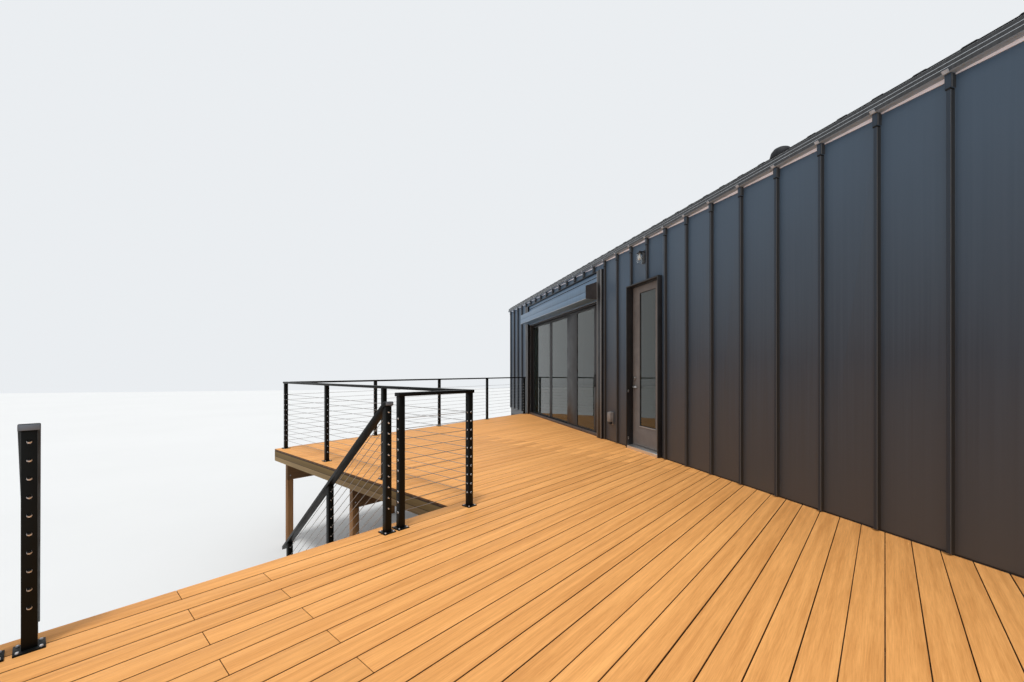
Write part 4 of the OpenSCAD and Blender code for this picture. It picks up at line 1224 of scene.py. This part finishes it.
class GuardParts:
    """The three meshes of one guard: its steel, its cables and its fittings."""

    def __init__(self, place):
        self.steel = bmesh.new()
        self.cables = bmesh.new()
        self.fittings = bmesh.new()
        self.place = place

    def box(self, low, high, ease):
        add_box(self.steel, low, high, ease, 2, place=self.place)

    def bolt(self, x, y, z):
        matrix = self.place @ Matrix.Translation((x, y, z + 0.003))
        bmesh.ops.create_cone(
            self.fittings, cap_ends=True, segments=6, radius1=0.0065, radius2=0.0060, depth=0.006,
            matrix=matrix,
        )

    def post(self, x, z, height):
        half = STEEL_W / 2
        plate = PLATE_W / 2
        self.box((x - plate, -plate, z), (x + plate, plate, z + PLATE_T), 0.0015)
        self.box((x - half, -half, z + PLATE_T / 2), (x + half, half, z + height), 0.004)
        for dx in (-1, 1):
            for dy in (-1, 1):
                self.bolt(x + dx * (plate - 0.014), dy * (plate - 0.014), z + PLATE_T)

    def cable(self, start, end):
        """A taut cable between two points."""
        line = end - start
        bmesh.ops.create_cone(
            self.cables, cap_ends=True, segments=8, radius1=CABLE_R, radius2=CABLE_R, depth=line.length,
            matrix=aimed((start + end) / 2, line, self.place),
        )

    def fitting(self, point, direction, radius, length):
        """A round fitting that stands on a post's face, with a socket sunk in its end that is coated black
        as painted shade.
        """
        made = bmesh.ops.create_cone(
            self.fittings, cap_ends=True, segments=12, radius1=radius, radius2=radius * 0.80, depth=length,
            matrix=aimed(point + direction * length / 2, direction, self.place),
        )["verts"]
        outwards = (self.place.to_3x3() @ direction).normalized()
        caps = dict.fromkeys(f for v in made for f in v.link_faces if len(f.verts) > 4)
        outer = max(caps, key=lambda f: f.calc_center_median().dot(outwards))
        bmesh.ops.inset_region(self.fittings, faces=[outer], thickness=radius * 0.30)
        outer.material_index = 1
        bmesh.ops.translate(self.fittings, verts=outer.verts, vec=outwards * -0.5 * length)
        for edge in outer.edges:
            for face in edge.link_faces:
                face.material_index = 1

    def hand_in(self, name, nodes):
        new_piece(name + "_steel", self.steel, GUARD_BLACK, stands_for=nodes)
        new_piece(name + "_cables", self.cables, CABLE_STEEL, crease=60)
        fittings = new_piece(name + "_fittings", self.fittings, FITTING_STEEL)
        # The fittings' second finish is the black coat, painted as shade in their sockets.
        fittings.data.materials.append(GUARD_BLACK)


def run_place(start, end, z):
    line = end - start
    return Matrix.Translation((start.x, start.y, z)) @ Matrix.Rotation(math.atan2(line.y, line.x), 4, "Z")


def level_run(parts, posts, holes, rail, cables):
    """A level stretch of guard along X: its own posts, the posts it passes, rail and cables."""
    for x in posts:
        parts.post(x, 0, GUARD_H - RAIL_T)
    parts.box((rail[0], -RAIL_W / 2, GUARD_H - RAIL_T), (rail[1], RAIL_W / 2, GUARD_H), 0.004)
    along = Vector((1, 0, 0))
    half = STEEL_W / 2
    for k in range(CABLE_COUNT):
        z = CABLE_FIRST + k * CABLE_STEP
        parts.cable(Vector((cables[0], 0, z)), Vector((cables[1], 0, z)))
        for x in holes:
            ends = (abs(x - holes[0]) < 1e-6, abs(x - holes[-1]) < 1e-6)
            for side, outer in ((-1, ends[0]), (1, ends[1])):
                radius = DOME_R if outer else FERRULE_R
                length = 0.007 if outer else 0.010
                parts.fitting(Vector((x + side * half, 0, z)), along * side, radius, length)


def guard_span(name, nodes, start, end, posts, rail_start=-RAIL_W / 2, cable_start=0.0):
    """A whole level guard between two posts, with posts at shares of its length."""
    length = (end - start).length
    parts = GuardParts(run_place(start, end, deck_top))
    level_run(
        parts, [length * share for share in posts], [length * share for share in sorted({0, *posts, 1})],
        (rail_start, length + RAIL_W / 2), (cable_start, length),
    )
    parts.hand_in(name, nodes)


def deck_point(x, y):
    return (deck_place @ Vector((x, y, 0))).xy


near_places = [(to_deck @ v.co).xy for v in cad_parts["decking_near"].data.vertices]
side_len = max(p.y for p in near_places)
near_edge_len = -min(p.x for p in near_places if p.y > side_len - 0.001)
corner_post = deck_point(-POST_INSET, -POST_INSET)
far_post = deck_point(front_edge.length - FAR_INSET, -POST_INSET)
twin_post = deck_point(-POST_INSET, TWIN_FIRST)
stair_post_far = TWIN_FIRST + TWIN_GAP
stair_post_near = 2 * STAIR_MID - stair_post_far
near_twin = deck_point(-POST_INSET, stair_post_near + TWIN_GAP)
near_far_post = deck_point(-POST_INSET, side_len - POST_INSET)
near_end_post = deck_point(-near_edge_len + POST_INSET * 1.6, side_len - POST_INSET)
near_wall_post = Vector((near_end_post.x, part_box("guards_near")[1].y - PLATE_W / 2))
far_wall = deck_corner("decking_far", lambda p: p.x).xy
far_line = (far_wall - far_corner.xy).normalized()
wall_post_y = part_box("guard_far")[1].y - PLATE_W / 2 * (abs(far_line.x) + abs(far_line.y))
wall_post = far_post + far_line * (wall_post_y - far_post.y) / far_line.y

guard_span("guard_front", ("guard_front",), corner_post, far_post, (0, 1 / 3, 2 / 3, 1))
guard_span("guard_far", ("guard_far",), far_post, wall_post, (0.25, 0.5, 0.75, 1), 0.07, 0.03)
guard_span("guard_corner", ("guard_corner",), corner_post, twin_post, (1,), RAIL_W / 2, STEEL_W / 2)
guard_span("guard_near_stair", ("guards_near",), near_twin, near_far_post, (0, 1))
guard_span("guard_near_side", (), near_far_post, near_end_post, (0.5, 1), RAIL_W / 2, STEEL_W / 2)
guard_span("guard_near_end", (), near_end_post, near_wall_post, (1 / 3, 2 / 3, 1), 0.065, 0.03)


# Stair guards.
# The same posts and cables follow the stair down. Each rail has a short level end over its
# top post and runs on past the ground post.
def stair_rail(parts, slope):
    drop = math.tan(slope)
    foot = STAIR_POST_LOW + STAIR_FOOT
    thick = RAIL_T / math.cos(slope)
    top = STAIR_RAIL_H
    profile = [
        (-RAIL_W / 2, top - RAIL_T), (-RAIL_W / 2, top), (0, top), (foot, top - foot * drop),
        (foot, top - foot * drop - thick), (0, top - thick),
    ]
    rail = bmesh.new()
    face = rail.faces.new([rail.verts.new((x, -RAIL_W / 2, z)) for x, z in profile])
    lift(rail, [face], (0, RAIL_W, 0))
    bmesh.ops.recalc_face_normals(rail, faces=rail.faces)
    bevelled(rail, 0.004, 2)
    rail.transform(parts.place)
    absorb(parts.steel, rail)


# Painted reflection: the rail's end is capped in a light blue grey copy of the black coat, for the sky it
# reflects.
END_CAP_SHEEN = black_coat("rail_end_sky_sheen", 0.13, 0.45, 0.4, (0.85, 1.0, 1.2))


def stair_guard(name, y, nodes):
    rise = deck_top / RISERS
    slope = math.atan(rise / STEP_RUN)
    drop = math.tan(slope)
    parts = GuardParts(deck_place @ Matrix.Translation((-POST_INSET, y, deck_top)))
    mid_z = -math.floor((STAIR_POST_MID - POST_INSET) / STEP_RUN + 1) * rise
    under = STAIR_RAIL_H - RAIL_T
    parts.post(0, 0, under)
    parts.post(STAIR_POST_MID, mid_z, under - STAIR_POST_MID * drop - mid_z)
    parts.post(STAIR_POST_LOW, -deck_top, under - STAIR_POST_LOW * drop + deck_top)
    stair_rail(parts, slope)
    end_cap = bmesh.new()
    add_box(
        end_cap, (-RAIL_W / 2 - 0.0025, -RAIL_W / 2 + 0.002, under + 0.002),
        (-RAIL_W / 2 + 0.001, RAIL_W / 2 - 0.002, STAIR_RAIL_H - 0.002), 0.001, 2,
    )
    end_cap.transform(parts.place)
    new_piece(name + "_end_cap", end_cap, END_CAP_SHEEN)
    down = Vector((math.cos(slope), 0, -math.sin(slope)))
    half = STEEL_W / 2
    for k in range(CABLE_COUNT):
        start = Vector((0, 0, STAIR_CABLE_FIRST + k * CABLE_STEP))
        parts.cable(start, start + down * STAIR_POST_LOW / math.cos(slope))
        for x in (0, STAIR_POST_MID, STAIR_POST_LOW):
            for side in (-1, 1):
                outer = (x == 0 and side < 0) or (x == STAIR_POST_LOW and side > 0)
                face = Vector((x + side * half, 0, start.z - (x + side * half) * drop))
                radius = DOME_R if outer else FERRULE_R
                parts.fitting(face - down * side * 0.002, down * side, radius, 0.009)
    parts.hand_in(name, nodes)


stair_guard("stair_guard_far", stair_post_far, ("stair_guards",))
stair_guard("stair_guard_near", stair_post_near, ())


# Studio.
# A pale floor and even soft light, with the camera level on the deck beside the cabin's
# near end.
CAMERA_PLACE = (6.681, -3.752, 2.778)
CAMERA_FORWARD = (-0.9668, 0.2555, 0.0)
FOCAL_PIXELS = 420.0
HORIZON_PIXEL = 371.0
IMAGE_SIZE = (1024, 682)


def pale_floor():
    bm = bmesh.new()
    bmesh.ops.create_grid(bm, x_segments=1, y_segments=1, size=60)
    mesh = bpy.data.meshes.new("studio_floor")
    bm.to_mesh(mesh)
    bm.free()
    mesh.materials.append(mottled(
        "pale_floor", 0.9, (0.2, 4.0), (0.80, 0.80, 0.79), (0.82, 0.82, 0.81), specular=0.1,
    ))
    floor = bpy.data.objects.new("studio_floor", mesh)
    bpy.context.scene.collection.objects.link(floor)


def soft_world(lighting, shown):
    """A plain world: dim for light, pale where the camera and reflections see it."""
    world = bpy.data.worlds.new("studio")
    bpy.context.scene.world = world
    world.use_nodes = True
    tree = world.node_tree
    back = tree.nodes["Background"]
    paths = add(tree, "LightPath").outputs
    seen = calc(tree, "MAXIMUM", paths["Is Camera Ray"], paths["Is Transmission Ray"])
    mirrored = calc(tree, "MAXIMUM", seen, paths["Is Glossy Ray"])
    tree.links.new(spread(tree, mirrored, lighting, shown), back.inputs["Strength"])
    back.inputs["Color"].default_value = colour(0.94, 0.97, 1.0)


def soft_sun(towards, strength, spread_degrees):
    """A large soft lamp so far away that it lights the whole floor evenly."""
    data = bpy.data.lights.new("high_lamp", "SUN")
    data.energy = strength
    data.angle = math.radians(spread_degrees)
    lamp = bpy.data.objects.new("high_lamp", data)
    lamp.rotation_euler = Vector(towards).to_track_quat("Z", "Y").to_euler()
    bpy.context.scene.collection.objects.link(lamp)


pale_floor()
soft_world(0.72, 0.88)
soft_sun((0.26, -0.159, 1.085), 1.5, 8.0)

camera_data = bpy.data.cameras.new("camera")
camera_data.sensor_width = 36.0
camera_data.lens = FOCAL_PIXELS * 36.0 / IMAGE_SIZE[0]
camera_data.shift_y = (HORIZON_PIXEL - IMAGE_SIZE[1] / 2) / IMAGE_SIZE[0]
camera_data.clip_end = 300.0
camera = bpy.data.objects.new("camera", camera_data)
camera.location = CAMERA_PLACE
camera.rotation_euler = Vector(CAMERA_FORWARD).to_track_quat("-Z", "Y").to_euler()
bpy.context.scene.collection.objects.link(camera)
bpy.context.scene.camera = camera
bpy.context.scene.view_settings.view_transform = "Standard"
